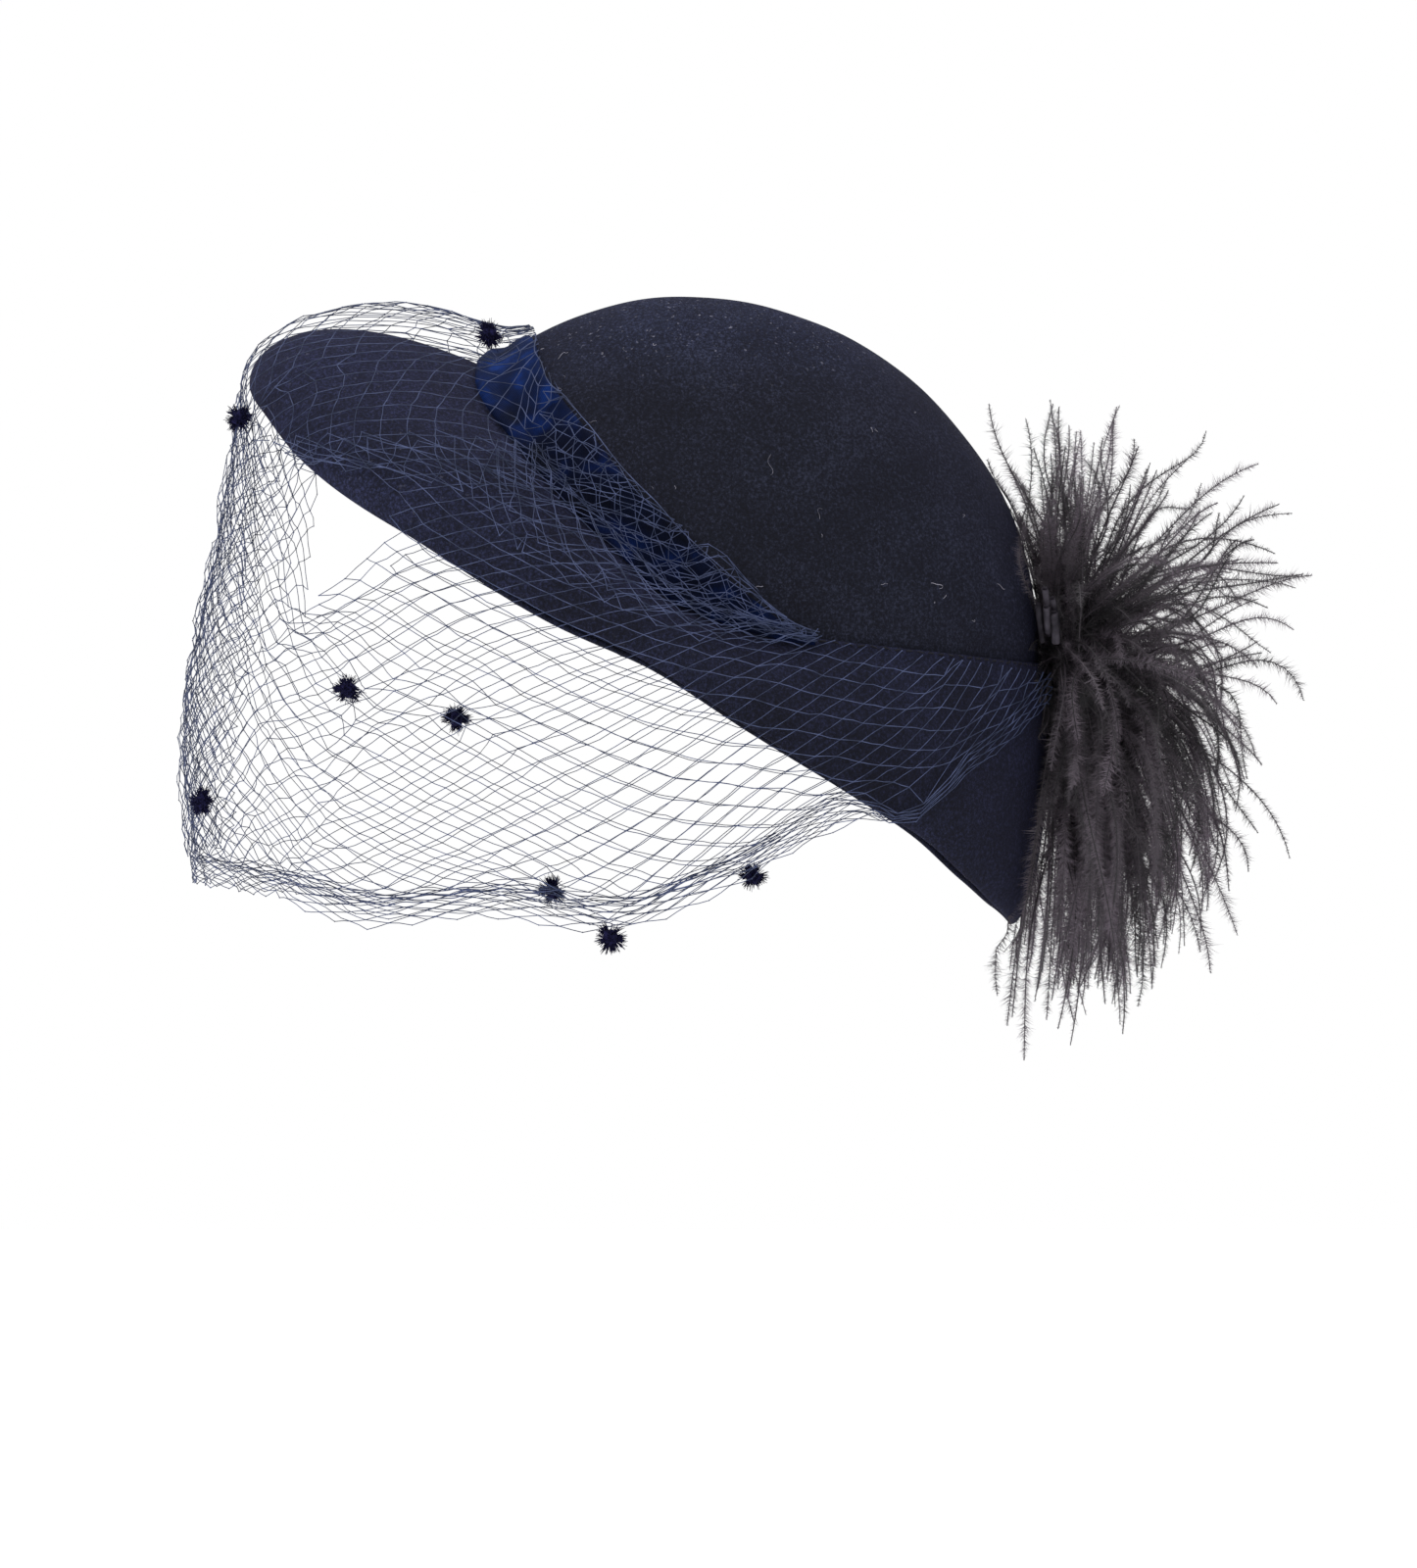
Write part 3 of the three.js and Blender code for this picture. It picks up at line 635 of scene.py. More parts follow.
@dataclass
class FeltBrim:
    """The brim: one sheet of felt with a cut, slightly rounded edge, lapped over the crown's foot."""

    columns: int = 240
    rows: int = 36
    lip: int = 5
    wave: float = 0.5

    def build(self) -> bpy.types.Object:
        """Builds the brim.

        Returns:
            The brim's object.
        """
        turn = np.linspace(-180, 180, self.columns, endpoint=False)[None, :]
        share = np.linspace(0, 1, self.rows)[:, None]
        top = SHAPE.crown_point(turn, SHAPE.join_z.at(turn) + SHAPE.lap, GAP + FELT)
        top_inside = SHAPE.crown_point(turn, SHAPE.join_z.at(turn) + SHAPE.lap, GAP)
        foot = SHAPE.crown_point(turn, SHAPE.join_z.at(turn), GAP)
        outer = SHAPE.brim_point(turn, share, 0.0)
        inner = SHAPE.brim_point(turn, share, -FELT)[::-1]
        ends = unit(outer[-1] - outer[-2])[None]
        arc = np.linspace(0, math.pi, self.lip + 2)[1:-1, None, None]
        centre = (outer[-1:] + inner[:1]) / 2
        lip = centre + (outer[-1:] - centre) * np.cos(arc) + ends * np.sin(arc) * FELT * 0.35
        points = np.concatenate([top, outer, lip, inner[:-1], foot, top_inside])
        still = [[0.0]]
        away = np.concatenate([
            still, share**2, np.ones((self.lip, 1)), (share[::-1] ** 2)[:-1], still, still])
        wave = Ripple(5, 70).at(points) * self.wave * away
        points = points + np.array([0, 0, 1.0]) * wave[..., None]
        faces = grid_faces(len(points), self.columns, True, True)
        # low and fade paint the brim darker towards its lower, rear edge: painted shade.
        felt = WoolFelt(
            "brim_felt", deep="0b0c17", body="16192b", bloom="2a2e4b",
            low="c0c0be", fade=(-150, -30), lint=0.12)
        return mesh_object("felt_brim", points, faces, felt.material())


@dataclass
class JoinStitching:
    """Small dark stitches that hold the net's gathered edge along the crown's foot behind each ear."""

    start: float = 108.0
    end: float = 170.0
    spacing: float = 3.4
    length: float = 2.0
    radius: float = 0.28
    join_radius: float = 88.0

    def build(self) -> bpy.types.Object:
        """Builds the stitches on both sides.

        Returns:
            The stitches' object.
        """
        rng = np.random.default_rng(11)
        middle = np.arange(self.start, self.end, math.degrees(self.spacing / self.join_radius))
        middle = np.concatenate([middle, -middle])
        half = math.degrees(self.length / 2 / self.join_radius)
        lift = rng.uniform(-0.4, 0.4, len(middle))
        lines = []
        for share in np.linspace(-1, 1, 5):
            turn = middle + half * share
            height = SHAPE.join_z.at(turn) + SHAPE.lap - 0.6 + lift * share
            lines.append(SHAPE.crown_point(turn, height, GAP + FELT + 0.25 + 0.35 * (1 - share**2)))
        lines = np.stack(lines, 1)
        radii = np.full(lines.shape[:2], self.radius)
        radii[:, [0, -1]] *= 0.4
        points, faces = tubes(lines, radii, 5)
        thread = TwistedThread("stitch_thread", deep="08080e", light="14141e").material()
        return mesh_object("join_stitches", points, faces, thread)


@dataclass
class FeltLint:
    """Pale curled fibres that cling to the felt."""

    count: int = 90
    longest: float = 11.0
    radius: float = 0.07
    crown_radius: float = 80.0
    steps: int = 12

    def build(self) -> bpy.types.Object:
        """Builds the fibres.

        Returns:
            The fibres' object.
        """
        rng = np.random.default_rng(23)
        lines = []
        for _ in range(self.count):
            turn = rng.uniform(35, 165) * rng.choice([-1, 1])
            high = rng.uniform(0.04, 0.96)
            z0 = SHAPE.join_z.at(turn) + 6 + (-SHAPE.join_z.at(turn) - 14) * high
            length = rng.uniform(1.2, self.longest * rng.uniform(0.2, 1) ** 2 + 1.5)
            heading, curl = rng.uniform(0, 2 * math.pi), rng.normal(0, 2.6)
            s = np.linspace(0, 1, self.steps)
            bend = heading + curl * s + 0.8 * np.sin(s * rng.uniform(3, 9) + rng.uniform(0, 6))
            across = np.cumsum(np.cos(bend)) * length / self.steps
            up = np.cumsum(np.sin(bend)) * length / self.steps
            stand = 0.25 + 0.5 * np.sin(s * math.pi) * rng.uniform(0.2, 1)
            turns = turn + np.degrees(across / self.crown_radius)
            lines.append(SHAPE.crown_point(turns, z0 + up * 0.8, stand))
        lines = np.stack(lines)
        radii = np.full(lines.shape[:2], self.radius) * rng.uniform(0.6, 1.3, (self.count, 1))
        points, faces = tubes(lines, radii, 3)
        fibre = TwistedThread("lint_fibre", deep="5a5a66", light="9a98a4", roughness=0.8).material()
        return mesh_object("felt_lint", points, faces, fibre)


@dataclass
class RibbonBand:
    """The ribbon round the front of the crown, drawn to a point above each ear, softly folded lengthwise."""

    columns: int = 220
    rows: int = 14
    thick: float = 1.0
    fold: float = 0.35
    cut: tuple[float, float] = (0.027, 0.36)  # the flat ribbon's width and length, in metres
    cut_area: float = 0.0066  # in square metres, as its ends are cut to points
    foot: float = 0.8  # how far the lower edge stays above the join
    over_brim: tuple[float, float] = (3.2, 6.2)  # the heights between which it steps out over the brim's lap
    per_turn: float = 1.5  # millimetres of ribbon for each degree of turn

    def skin(self, thick: float) -> Array:
        """Returns rows of points from the ribbon's upper edge to its lower one."""
        turn = np.linspace(-SHAPE.band_end, SHAPE.band_end, self.columns)[None, :]
        share = np.linspace(0, 1, self.rows)[:, None]
        join_z = SHAPE.join_z.at(turn)
        width = SHAPE.band_z.at(turn) - join_z
        height = width * (1 - share) + self.foot * share
        step = smooth_step(height, *self.over_brim)
        stand = (2 * GAP + FELT + 0.2) * (1 - step) + (GAP + 0.2) * step
        fold = self.fold * np.sin(share * 9 + np.radians(turn) * 3) * np.sin(share * math.pi)
        return SHAPE.crown_point(turn, join_z + height, stand + thick + np.maximum(fold, 0) * (thick > 0))

    def build(self) -> bpy.types.Object:
        """Builds the ribbon.

        Returns:
            The ribbon's object.
        """
        outer, inner = self.skin(self.thick), self.skin(0.0)[::-1]
        points = np.concatenate([outer, inner])
        faces = grid_faces(len(points), self.columns, True, False).tolist()
        total = len(points)
        first = [row * self.columns for row in range(total)]
        ends = [first, [corner + self.columns - 1 for corner in first][::-1]]
        piece = mesh_object("ribbon_band", points, faces + ends, RibbonWeave().material())
        along = np.linspace(-SHAPE.band_end, SHAPE.band_end, self.columns) * self.per_turn
        set_values(piece, "along", np.tile(along, total))
        return piece


# ---------------------------------------------------------------- net veil


class VeilDot(Enum):
    """The chenille dots, by the CAD nodes that they replace."""

    BROW = "veil_dot_brow"
    TIP = "veil_dot_tip"
    CHEEK = "veil_dot_cheek"
    MOUTH = "veil_dot_mouth"
    JAW = "veil_dot_jaw"
    FAR_CHEEK = "veil_dot_far_cheek"
    FAR_JAW = "veil_dot_far_jaw"
    FAR_EAR = "veil_dot_far_ear"

    def centre(self) -> Array:
        """Returns the middle of the dot in millimetres."""
        low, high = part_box(self.value)
        return np.array((low + high) / 2) / MM


@dataclass(frozen=True)
class NetLayer:
    """One more layer of the net, laid in folds over the rest, and how many half diamonds it has each way."""

    front_turns: tuple[float, ...]
    back_turns: tuple[float, ...]
    top_stage: float
    low_stages: tuple[float, ...]
    across: int
    down: int
    wander: float
    lift: float


@dataclass
class NetVeil:
    """Diamond net, knotted every 7.2 mm: one layer from the ribbon to the hem, and gathered layers on it.

    A row is one diamond high and is counted up from the hem. A column is half a diamond wide and is
    counted from the front. A stage says how far down the hat a knot lies, as in HatShape.veil_point.
    """

    half_width: float = 6.2
    side: float = 7.2
    slack: float = 4.6
    row_height: float = 6.8
    front_row_height: float = 12.0
    thread: float = 0.145
    knot: float = 0.26
    drawn_turns: tuple[float, ...] = (0, 15, 30, 45, 60, 75, 168)
    drawn_back: tuple[float, ...] = (0, 5, 9, 9, 5, 0, 0)
    crease_turns: tuple[tuple[float, ...], ...] = ((12, 22, 31), (48, 41, 34))
    crease_stages: tuple[tuple[float, ...], ...] = ((2.02, 2.3, 2.6), (2.5, 2.75, 2.95))
    gap_corners: tuple[tuple[float, float], ...] = ((-110, -44), (-91, -67), (-98, -79), (-114, -91))
    hem_rows: tuple[float, ...] = (0, 1, 2, 3, 4, 5, 6.5, 40)
    hem_rises: tuple[float, ...] = (0, 0.42, 0.8, 1.15, 1.45, 2.2, 3.45, 36.95)
    puff: tuple[float, float] = (97.0, 4.5)  # the turn and the height of the bunch where the ribbon ends
    half_rows: int = 80
    hem_held: int = 9  # how many half rows at the hem don't slide
    under_brim: float = 1.97  # the stage below which a thread counts as hanging
    gap_edge: float = 0.8  # threads that come nearer than this share to the gap's middle are left out
    rounds: int = 60
    fold_sides: tuple[float, float] = (3.4, 5.4)  # the same as slack and side, in the folds
    fold_rounds: int = 25
    layers: tuple[NetLayer, ...] = (
        NetLayer(
            (74, 62, 57, 58, 61), (111, 111), 0.0, (1.5, 1.58, 1.62, 1.6, 1.5, 1.2, 0.9),
            26, 15, 1.3, 1.0),
        NetLayer(
            (68, 58, 55, 57, 60), (111, 110), 0.04, (1.3, 1.45, 1.5, 1.5, 1.4, 1.1, 0.9),
            22, 12, 1.4, 1.9),
        NetLayer((58, 53.5, 46.5, 36.5, 26), (72, 67, 60, 46.5, 32), 1.0, (1.97, 1.97), 4, 17, 0.6, 1.0),
        NetLayer((59, 54.5, 48, 38, 27.5), (71, 66, 60.5, 47.5, 33), 1.04, (1.95, 1.97), 3, 14, 0.8, 1.7),
        NetLayer((2, 2), (25, 22), 2.0, (2.95, 2.9), 10, 48, 0.35, 1.4),
    )

    def __post_init__(self) -> None:
        """Works out how long each part of the net is, and how many columns there are."""
        self.round = np.linspace(0, 168, 337)
        share = np.linspace(0, 1, 40)[:, None]
        lengths = []
        for first in (0, 1, 2):
            line = SHAPE.veil_point(self.round[None], first + 0.0005 + share * 0.999)
            lengths.append(np.linalg.norm(np.diff(line, axis=0), axis=-1).sum(0))
        self.on_ribbon, self.on_brim, self.hanging = lengths
        self.drop = 1 - smooth_step(self.round, 124, 131)
        self.hanging = self.hanging * self.drop + 0.01
        front = 1 - smooth_step(self.round, 40, 60)
        self.tall = 1 + (self.front_row_height / self.row_height - 1) * front
        edge = SHAPE.veil_point(self.round, 2.0)
        steps = np.minimum(np.linalg.norm(np.diff(edge, axis=0), axis=-1), 0.95)
        narrow = 1 + 0.75 * (1 - smooth_step(self.round[1:], 26, 56))
        self.even = np.concatenate([[0], np.cumsum(steps * narrow)])
        self.columns = int(self.even[-1] / self.half_width) // 2 * 2

    def at(self, turn: Array, values: Array) -> Array:
        """Returns one of the tables' values at each turn."""
        return np.interp(np.abs(turn), self.round, values)

    def turn_of(self, column: Array, stage: Array) -> Array:
        """Returns the turn of a column at a stage. On the brim the net is drawn back to its gathers."""
        flat = np.interp(np.abs(column) * self.even[-1] / self.columns, self.even, self.round)
        back = Curve(self.drawn_turns, self.drawn_back).at(flat) * np.clip(2 - stage, 0, 1)
        return np.sign(column) * (flat + back)

    def stage_down(self, turn: Array, down: Array) -> Array:
        """Returns the stage that lies some millimetres down from the net's upper edge."""
        ribbon, brim, hanging, drop = (
            self.at(turn, v) for v in (self.on_ribbon, self.on_brim, self.hanging, self.drop))
        past = down - ribbon
        below = 2 + (past - brim) / hanging * drop
        return np.where(past < 0, down / ribbon, np.where(past < brim, 1 + past / brim, below))

    def down_to(self, turn: Array, stage: Array) -> Array:
        """Returns how many millimetres down from the net's upper edge a stage lies."""
        lengths = (self.on_ribbon, self.on_brim, self.hanging)
        return sum(np.clip(stage - k, 0, 1) * self.at(turn, v) for k, v in enumerate(lengths))

    def down_of(self, turn: Array, row: Array) -> Array:
        """Returns how many millimetres down from the net's upper edge a row lies."""
        hanging = self.at(turn, self.hanging)
        rise = np.interp(row, self.hem_rows, self.hem_rises) * self.row_height
        rise = np.minimum(rise, hanging) + np.maximum(rise - hanging, 0) * self.at(turn, self.tall)
        return self.down_to(turn, 3.0 + 0 * turn) - rise

    def settle(
            self, turn: Array, stage: Array, a: Array, b: Array, held: Array,
            between: tuple[float, float], rounds: int) -> tuple[Array, Array]:
        """Lets the knots slide over the hat until no thread is longer than it can be.

        Args:
            turn: the knots' turns.
            stage: the knots' stages.
            a: the knots at which the threads start.
            b: the knots at which they end.
            held: the knots that stay where they are.
            between: the shortest and the longest that a thread may be.
            rounds: how many times the knots are moved.

        Returns:
            The new turns and stages.
        """
        count = np.maximum(np.bincount(np.concatenate([a, b]), minlength=len(turn)), 1)[:, None]
        shortest, longest = between
        for _ in range(rounds):
            place = SHAPE.veil_point(turn, stage)
            thread = place[b] - place[a]
            length = np.maximum(np.linalg.norm(thread, axis=-1, keepdims=True), 0.05)
            pull = thread * (1 - np.clip(length, shortest, longest) / length) * 0.5
            pull = np.where(length < shortest, pull * 0.35, pull)
            pull = np.clip(pull, -1.5, 1.5)
            move = np.stack([
                np.bincount(a, part, len(turn)) - np.bincount(b, part, len(turn)) for part in pull.T], -1)
            move = np.where(held[:, None], 0, move / count * 1.5)
            away = np.where(stage > 2.97, -0.02, 0.02)
            round_ = (SHAPE.veil_point(turn + 0.4, stage) - place) / 0.4
            down = (SHAPE.veil_point(turn, stage + away) - place) / away[:, None]
            rr, dd, rd = (round_**2).sum(-1), (down**2).sum(-1) + 4, (round_ * down).sum(-1)
            mr, md = (move * round_).sum(-1), (move * down).sum(-1)
            area = np.maximum(rr * dd - rd * rd, 1e-3)
            turn = turn + np.clip((mr * dd - md * rd) / area, -1, 1)
            stage = np.clip(stage + np.clip((md * rr - mr * rd) / area, -0.05, 0.05), 0, 3)
        return turn, stage

    def threads(self, columns: Array, rows: Array) -> tuple[Array, Array]:
        """Returns the numbers of the two knots of each thread.

        Args:
            columns: each knot's column.
            rows: each knot's row, counted in half rows.
        """
        left = columns.min()
        grid = np.full((columns.max() - left + 3, rows.max() + 2), -1)
        grid[columns - left + 1, rows] = np.arange(len(columns))
        starts, ends = [], []
        for way in (-1, 1):
            other = grid[columns - left + 1 + way, rows + 1]
            starts.append(np.flatnonzero(other >= 0))
            ends.append(other[other >= 0])
        return np.concatenate(starts), np.concatenate(ends)

    def knots(self) -> tuple[Array, Array, Array]:
        """Returns the points of the main layer's knots, and the numbers of each thread's two knots."""
        columns, rows = every_other(np.arange(-self.columns, self.columns + 1), np.arange(self.half_rows))
        stage = np.full(len(columns), 2.0)
        for _ in range(4):
            turn = self.turn_of(columns, stage)
            down = self.down_of(turn, rows / 2)
            stage = np.clip(self.stage_down(turn, np.maximum(down, 0)), 0, 3)
        behind = np.abs(turn) > SHAPE.band_end - 1.5
        spare = down - np.where(behind, self.at(turn, self.on_ribbon), 0)
        a, b = self.threads(columns, rows)
        edge = np.flatnonzero((spare[a] > 0) != (spare[b] > 0))
        inside, outside = np.where(spare[a] > 0, a, b)[edge], np.where(spare[a] > 0, b, a)[edge]
        share = spare[inside] / (spare[inside] - spare[outside])
        turn = np.concatenate([turn, turn[inside] + (turn[outside] - turn[inside]) * share])
        stage = np.concatenate([stage, np.where(behind, 1.0, 0.0)[inside]])
        columns, rows, spare = (np.concatenate([v, v[inside]]) for v in (columns, rows, spare))
        added = np.arange(len(edge)) + len(down)
        whole = (spare[a] > 0) & (spare[b] > 0)
        a, b = np.concatenate([a[whole], inside]), np.concatenate([b[whole], added])
        spot = np.stack([columns * 5.0, rows * 3.4, 0.0 * rows], -1)
        held = (rows < self.hem_held) | (np.abs(columns) >= self.columns - 1)
        held = held | (np.arange(len(turn)) >= len(down))
        turn = turn + (0.4 * Ripple(43, 22).at(spot) + 0.9 * Ripple(42, 60).at(spot) * (stage < 2)) * ~held
        stage = np.clip(stage + 0.014 * Ripple(45, 20).at(spot) * ~held, 0, 3)
        turn, stage, pinned = self.caught(turn, stage)
        place = SHAPE.veil_point(turn, stage)
        along = (self.gap_share(blend(place[a], place[b], s)) for s in (0.0, 0.25, 0.5, 0.75, 1.0))
        crossing = np.min(list(along), axis=0)
        open_ = (crossing < self.gap_edge) & (np.maximum(stage[a], stage[b]) > self.under_brim)
        a, b = a[~open_], b[~open_]
        turn, stage = self.settle(turn, stage, a, b, held | pinned, (self.slack, self.side), self.rounds)
        points, out = SHAPE.veil_point(turn, stage), SHAPE.veil_out(turn, stage)
        hangs = smooth_step(stage, 2.0, 2.3)
        ruffle = Ripple(7, 42).at(points) * 1.3 * hangs + Ripple(8, 16).at(points) * 0.4
        near_hem = smooth_step(-rows / 2, -3.2, -0.5)
        flare = 1.2 * np.sin(columns * 1.3 + Ripple(6, 60).at(points) * 3) * near_hem * hangs
        points = points + out * (ruffle + flare)[..., None]
        points = points + np.random.default_rng(31).normal(0, 0.1, points.shape)
        return self.creased(self.aside(points, stage)), a, b

    def folded(self, layer: NetLayer, hand: int, seed: int) -> tuple[Array, Array, Array]:
        """Returns the knots and threads of one more layer.

        Args:
            layer: the layer.
            hand: 1 for the side at +X, -1 for the other.
            seed: what its own wandering starts from.
        """
        columns, rows = every_other(np.arange(layer.across + 1), np.arange(layer.down + 1))
        spot = np.stack([columns * 3.6, rows * 3.2, 0.0 * rows], -1)
        across = columns + layer.wander * stray(seed, spot)
        down = rows + layer.wander * stray(seed + 2, spot)
        across, down = np.clip(across / layer.across, 0, 1), np.clip(down / layer.down, 0, 1)
        front, back = evenly(down, layer.front_turns), evenly(down, layer.back_turns)
        turn = hand * (front + (back - front) * across)
        start = self.down_to(turn, layer.top_stage + 0 * turn)
        stop = self.down_to(turn, evenly(across, layer.low_stages))
        stage = np.clip(self.stage_down(turn, start + (stop - start) * down), 0, 3)
        a, b = self.threads(columns, rows)
        held = (columns == 0) | (columns == layer.across) | (rows == 0) | (rows == layer.down)
        turn, stage = self.settle(turn, stage, a, b, held, self.fold_sides, self.fold_rounds)
        points, out = SHAPE.veil_point(turn, stage), SHAPE.veil_out(turn, stage)
        middle, height = self.puff
        puff = height * np.exp(-(((np.abs(turn) - middle) / 3.5) ** 2) - (stage / 0.4) ** 2)
        lift = layer.lift * (0.7 + 0.5 * Ripple(seed + 4, 15).at(points)) + puff * 0.5
        points = points + out * lift[..., None] + np.random.default_rng(seed).normal(0, 0.25, points.shape)
        points[..., 2] += puff
        return self.creased(points), a, b

    def caught(self, turn: Array, stage: Array) -> tuple[Array, Array, Array]:
        """Draws the nearest knots to each dot and marks them, so that they stay there."""
        pinned = np.zeros(len(turn), bool)
        for dot in VeilDot:
            place = SHAPE.veil_point(turn, stage)
            gap = np.linalg.norm(place - dot.centre(), axis=-1)
            nearest = np.argsort(gap)[:5]
            middle_turn, middle_stage = turn[nearest].mean(), stage[nearest].mean()
            turn[nearest] += (middle_turn - turn[nearest]) * 0.6
            stage[nearest] += (middle_stage - stage[nearest]) * 0.6
            pinned[nearest] = gap[nearest] < 14
        return turn, stage, pinned

    def creased(self, points: Array) -> Array:
        """Draws the hanging net into its creases, on both sides."""
        for turns, stages in zip(self.crease_turns, self.crease_stages):
            for hand in (-1, 1):
                share = np.linspace(0, 1, 60)
                line = SHAPE.veil_point(hand * evenly(share, turns), evenly(share, stages))
                away = line - points[..., None, :]
                span = np.linalg.norm(away, axis=-1)
                nearest = np.take_along_axis(away, span.argmin(-1)[..., None, None], -2)[..., 0, :]
                near = 0.7 * np.exp(-((span.min(-1) / 7.5) ** 2))
                points = points + nearest * near[..., None]
        return points

    def gap_share(self, points: Array) -> Array:
        """Returns how far out of the open gap beside the brow each point lies: under 1 is inside it."""
        corners = np.array(self.gap_corners, float)
        middle = corners.mean(0)
        flat = points[..., 1:] - middle
        rounds = []
        for a, b in zip(corners - middle, np.roll(corners - middle, -1, axis=0)):
            normal = np.array([b[1] - a[1], a[0] - b[0]])
            rounds.append(flat @ normal / (normal @ a))
        return np.where(np.abs(points[..., 0]) > 42, np.max(rounds, axis=0), 9.0)

    def aside(self, points: Array, stage: Array) -> Array:
        """Pushes the hanging net aside from the gap beside the brow."""
        middle = np.array(self.gap_corners, float).mean(0)
        share = self.gap_share(points)
        pushed = np.where(share < 1.9, 1 + np.maximum(share - 0.3, 0) * 0.5625, share)
        scale = np.where(stage > 2.0, pushed / np.maximum(share, 0.05), 1)
        moved = points.copy()
        moved[..., 1:] = middle + (points[..., 1:] - middle) * scale[..., None]
        return moved

    def drawn_threads(self) -> Array:
        """Returns the lines of the thicker threads at the hem and along the ribbon's upper edge."""
        lines = []
        for shift in (-0.12, 0.12):
            turn = np.linspace(-112, 112, 700)
            spot = np.stack([turn * 2.0, shift * 40 + 0 * turn, 0 * turn], -1)
            row = 3.0 + 2 * shift + 0.25 * Ripple(12, 12).at(spot)
            stage = self.stage_down(turn, self.down_of(turn, row))
            lines.append(SHAPE.veil_point(turn, stage) + SHAPE.veil_out(turn, stage) * 0.4)
        for hand in (-1, 1):
            turn = np.linspace(34, 110, 700)
            spot = np.stack([turn * 2.0, hand * 20 + 0 * turn, 0 * turn], -1)
            stage = np.clip(0.03 + 0.05 * Ripple(13, 24).at(spot), 0, 0.2)
            lines.append(SHAPE.veil_point(hand * turn, stage) + SHAPE.veil_out(hand * turn, stage) * 0.9)
        return np.stack(lines)

    def build(self) -> bpy.types.Object:
        """Builds the net.

        Returns:
            The net's object.
        """
        nets = [self.knots()]
        for number, layer in enumerate(self.layers):
            nets += [self.folded(layer, hand, 50 + 20 * number + 10 * (hand > 0)) for hand in (-1, 1)]
        counts = np.cumsum([0] + [len(points) for points, _, _ in nets])
        knots = np.concatenate([points for points, _, _ in nets])
        a = np.concatenate([first + count for (_, first, _), count in zip(nets, counts)])
        b = np.concatenate([second + count for (_, _, second), count in zip(nets, counts)])
        rng = np.random.default_rng(37)
        start, end = knots[a], knots[b]
        lines = np.stack([start, (start + end) / 2 + rng.normal(0, 0.16, start.shape), end], 1)
        corners, faces = tubes(lines, np.full(lines.shape[:2], self.thread), 3)
        drawn = self.drawn_threads()
        drawn_corners, drawn_faces = tubes(drawn, np.full(drawn.shape[:2], self.thread * 1.15), 4)
        used = np.unique(np.concatenate([a, b]))
        shape = np.array([[1, 0, 0], [0, 1, 0], [-1, 0, 0], [0, -1, 0], [0, 0, 1], [0, 0, -1.0]]) * self.knot
        knot_corners = (knots[used][:, None] + shape[None]).reshape(-1, 3)
        one = np.array([
            [0, 1, 4], [1, 2, 4], [2, 3, 4], [3, 0, 4], [1, 0, 5], [2, 1, 5], [3, 2, 5], [0, 3, 5]])
        first = np.arange(len(used)) * len(shape) + len(corners) + len(drawn_corners)
        knot_faces = (one[None] + first[:, None, None]).reshape(-1, 3)
        net = TwistedThread("net_thread", deep="262d42", light="464f6f").material()
        every = np.concatenate([corners, drawn_corners, knot_corners])
        faces = faces.tolist() + (drawn_faces + len(corners)).tolist() + knot_faces.tolist()
        return mesh_object("net_veil", every, faces, net)


@dataclass
class ChenilleDot:
    """One chenille dot: a flat star of cut fibres in a few tufts, caught on the net."""

    dot: VeilDot
    core: float = 2.3
    reach: float = 5.1
    fibres: int = 460
    tufts: int = 6
    radius: float = 0.17
    ball_rows: int = 9
    ball_columns: int = 12

    def build(self, pile: bpy.types.Material) -> bpy.types.Object:
        """Builds the dot.

        Args:
            pile: the chenille's material.

        Returns:
            The dot's object.
        """
        rng = np.random.default_rng(100 + list(VeilDot).index(self.dot))
        out = unit(self.dot.centre() * [3, 0.6, 0])
        level = unit(np.cross(out, [0, 0, 1.0]))
        turns = np.arange(self.tufts) + rng.uniform(-0.28, 0.28, self.tufts)
        angle = turns[:, None] * 2 * math.pi / self.tufts
        heads = np.cos(angle) * level + np.sin(angle) * np.cross(out, level)
        heads = heads + out * rng.normal(0.1, 0.2, angle.shape)
        heads = np.concatenate([heads, [out * 0.8, out * -0.8]])
        ways = unit(heads[rng.integers(0, len(heads), self.fibres)] + rng.normal(0, 0.24, (self.fibres, 3)))
        length = self.reach * rng.uniform(0.66, 1.0, self.fibres) * (1 - 0.4 * np.abs(ways @ out))
        s = np.linspace(0, 1, 4)[None, :, None]
        bend = rng.normal(0, 0.5, (self.fibres, 1, 3))
        lines = self.dot.centre() + ways[:, None] * (0.8 + (length[:, None, None] - 0.8) * s) + bend * s * s
        radii = self.radius * (1 - 0.55 * s[..., 0] ** 2) * np.ones((self.fibres, 1))
        corners, faces = tubes(lines, radii, 3)
        rows, columns = np.meshgrid(
            np.linspace(0.05, math.pi - 0.05, self.ball_rows),
            np.arange(self.ball_columns) * 2 * math.pi / self.ball_columns, indexing="ij")
        ball = np.stack([np.sin(rows) * np.cos(columns), np.sin(rows) * np.sin(columns), np.cos(rows)], -1)
        ball = self.dot.centre() + ball * (self.core * (1 + 0.16 * rng.normal(size=rows.shape)))[..., None]
        ball_faces = grid_faces(self.ball_rows, self.ball_columns, False, True) + len(corners)
        every = np.concatenate([corners, ball.reshape(-1, 3)])
        return mesh_object(self.dot.value + "_tuft", every, np.concatenate([faces, ball_faces]), pile)


# ---------------------------------------------------------------- feather pompon


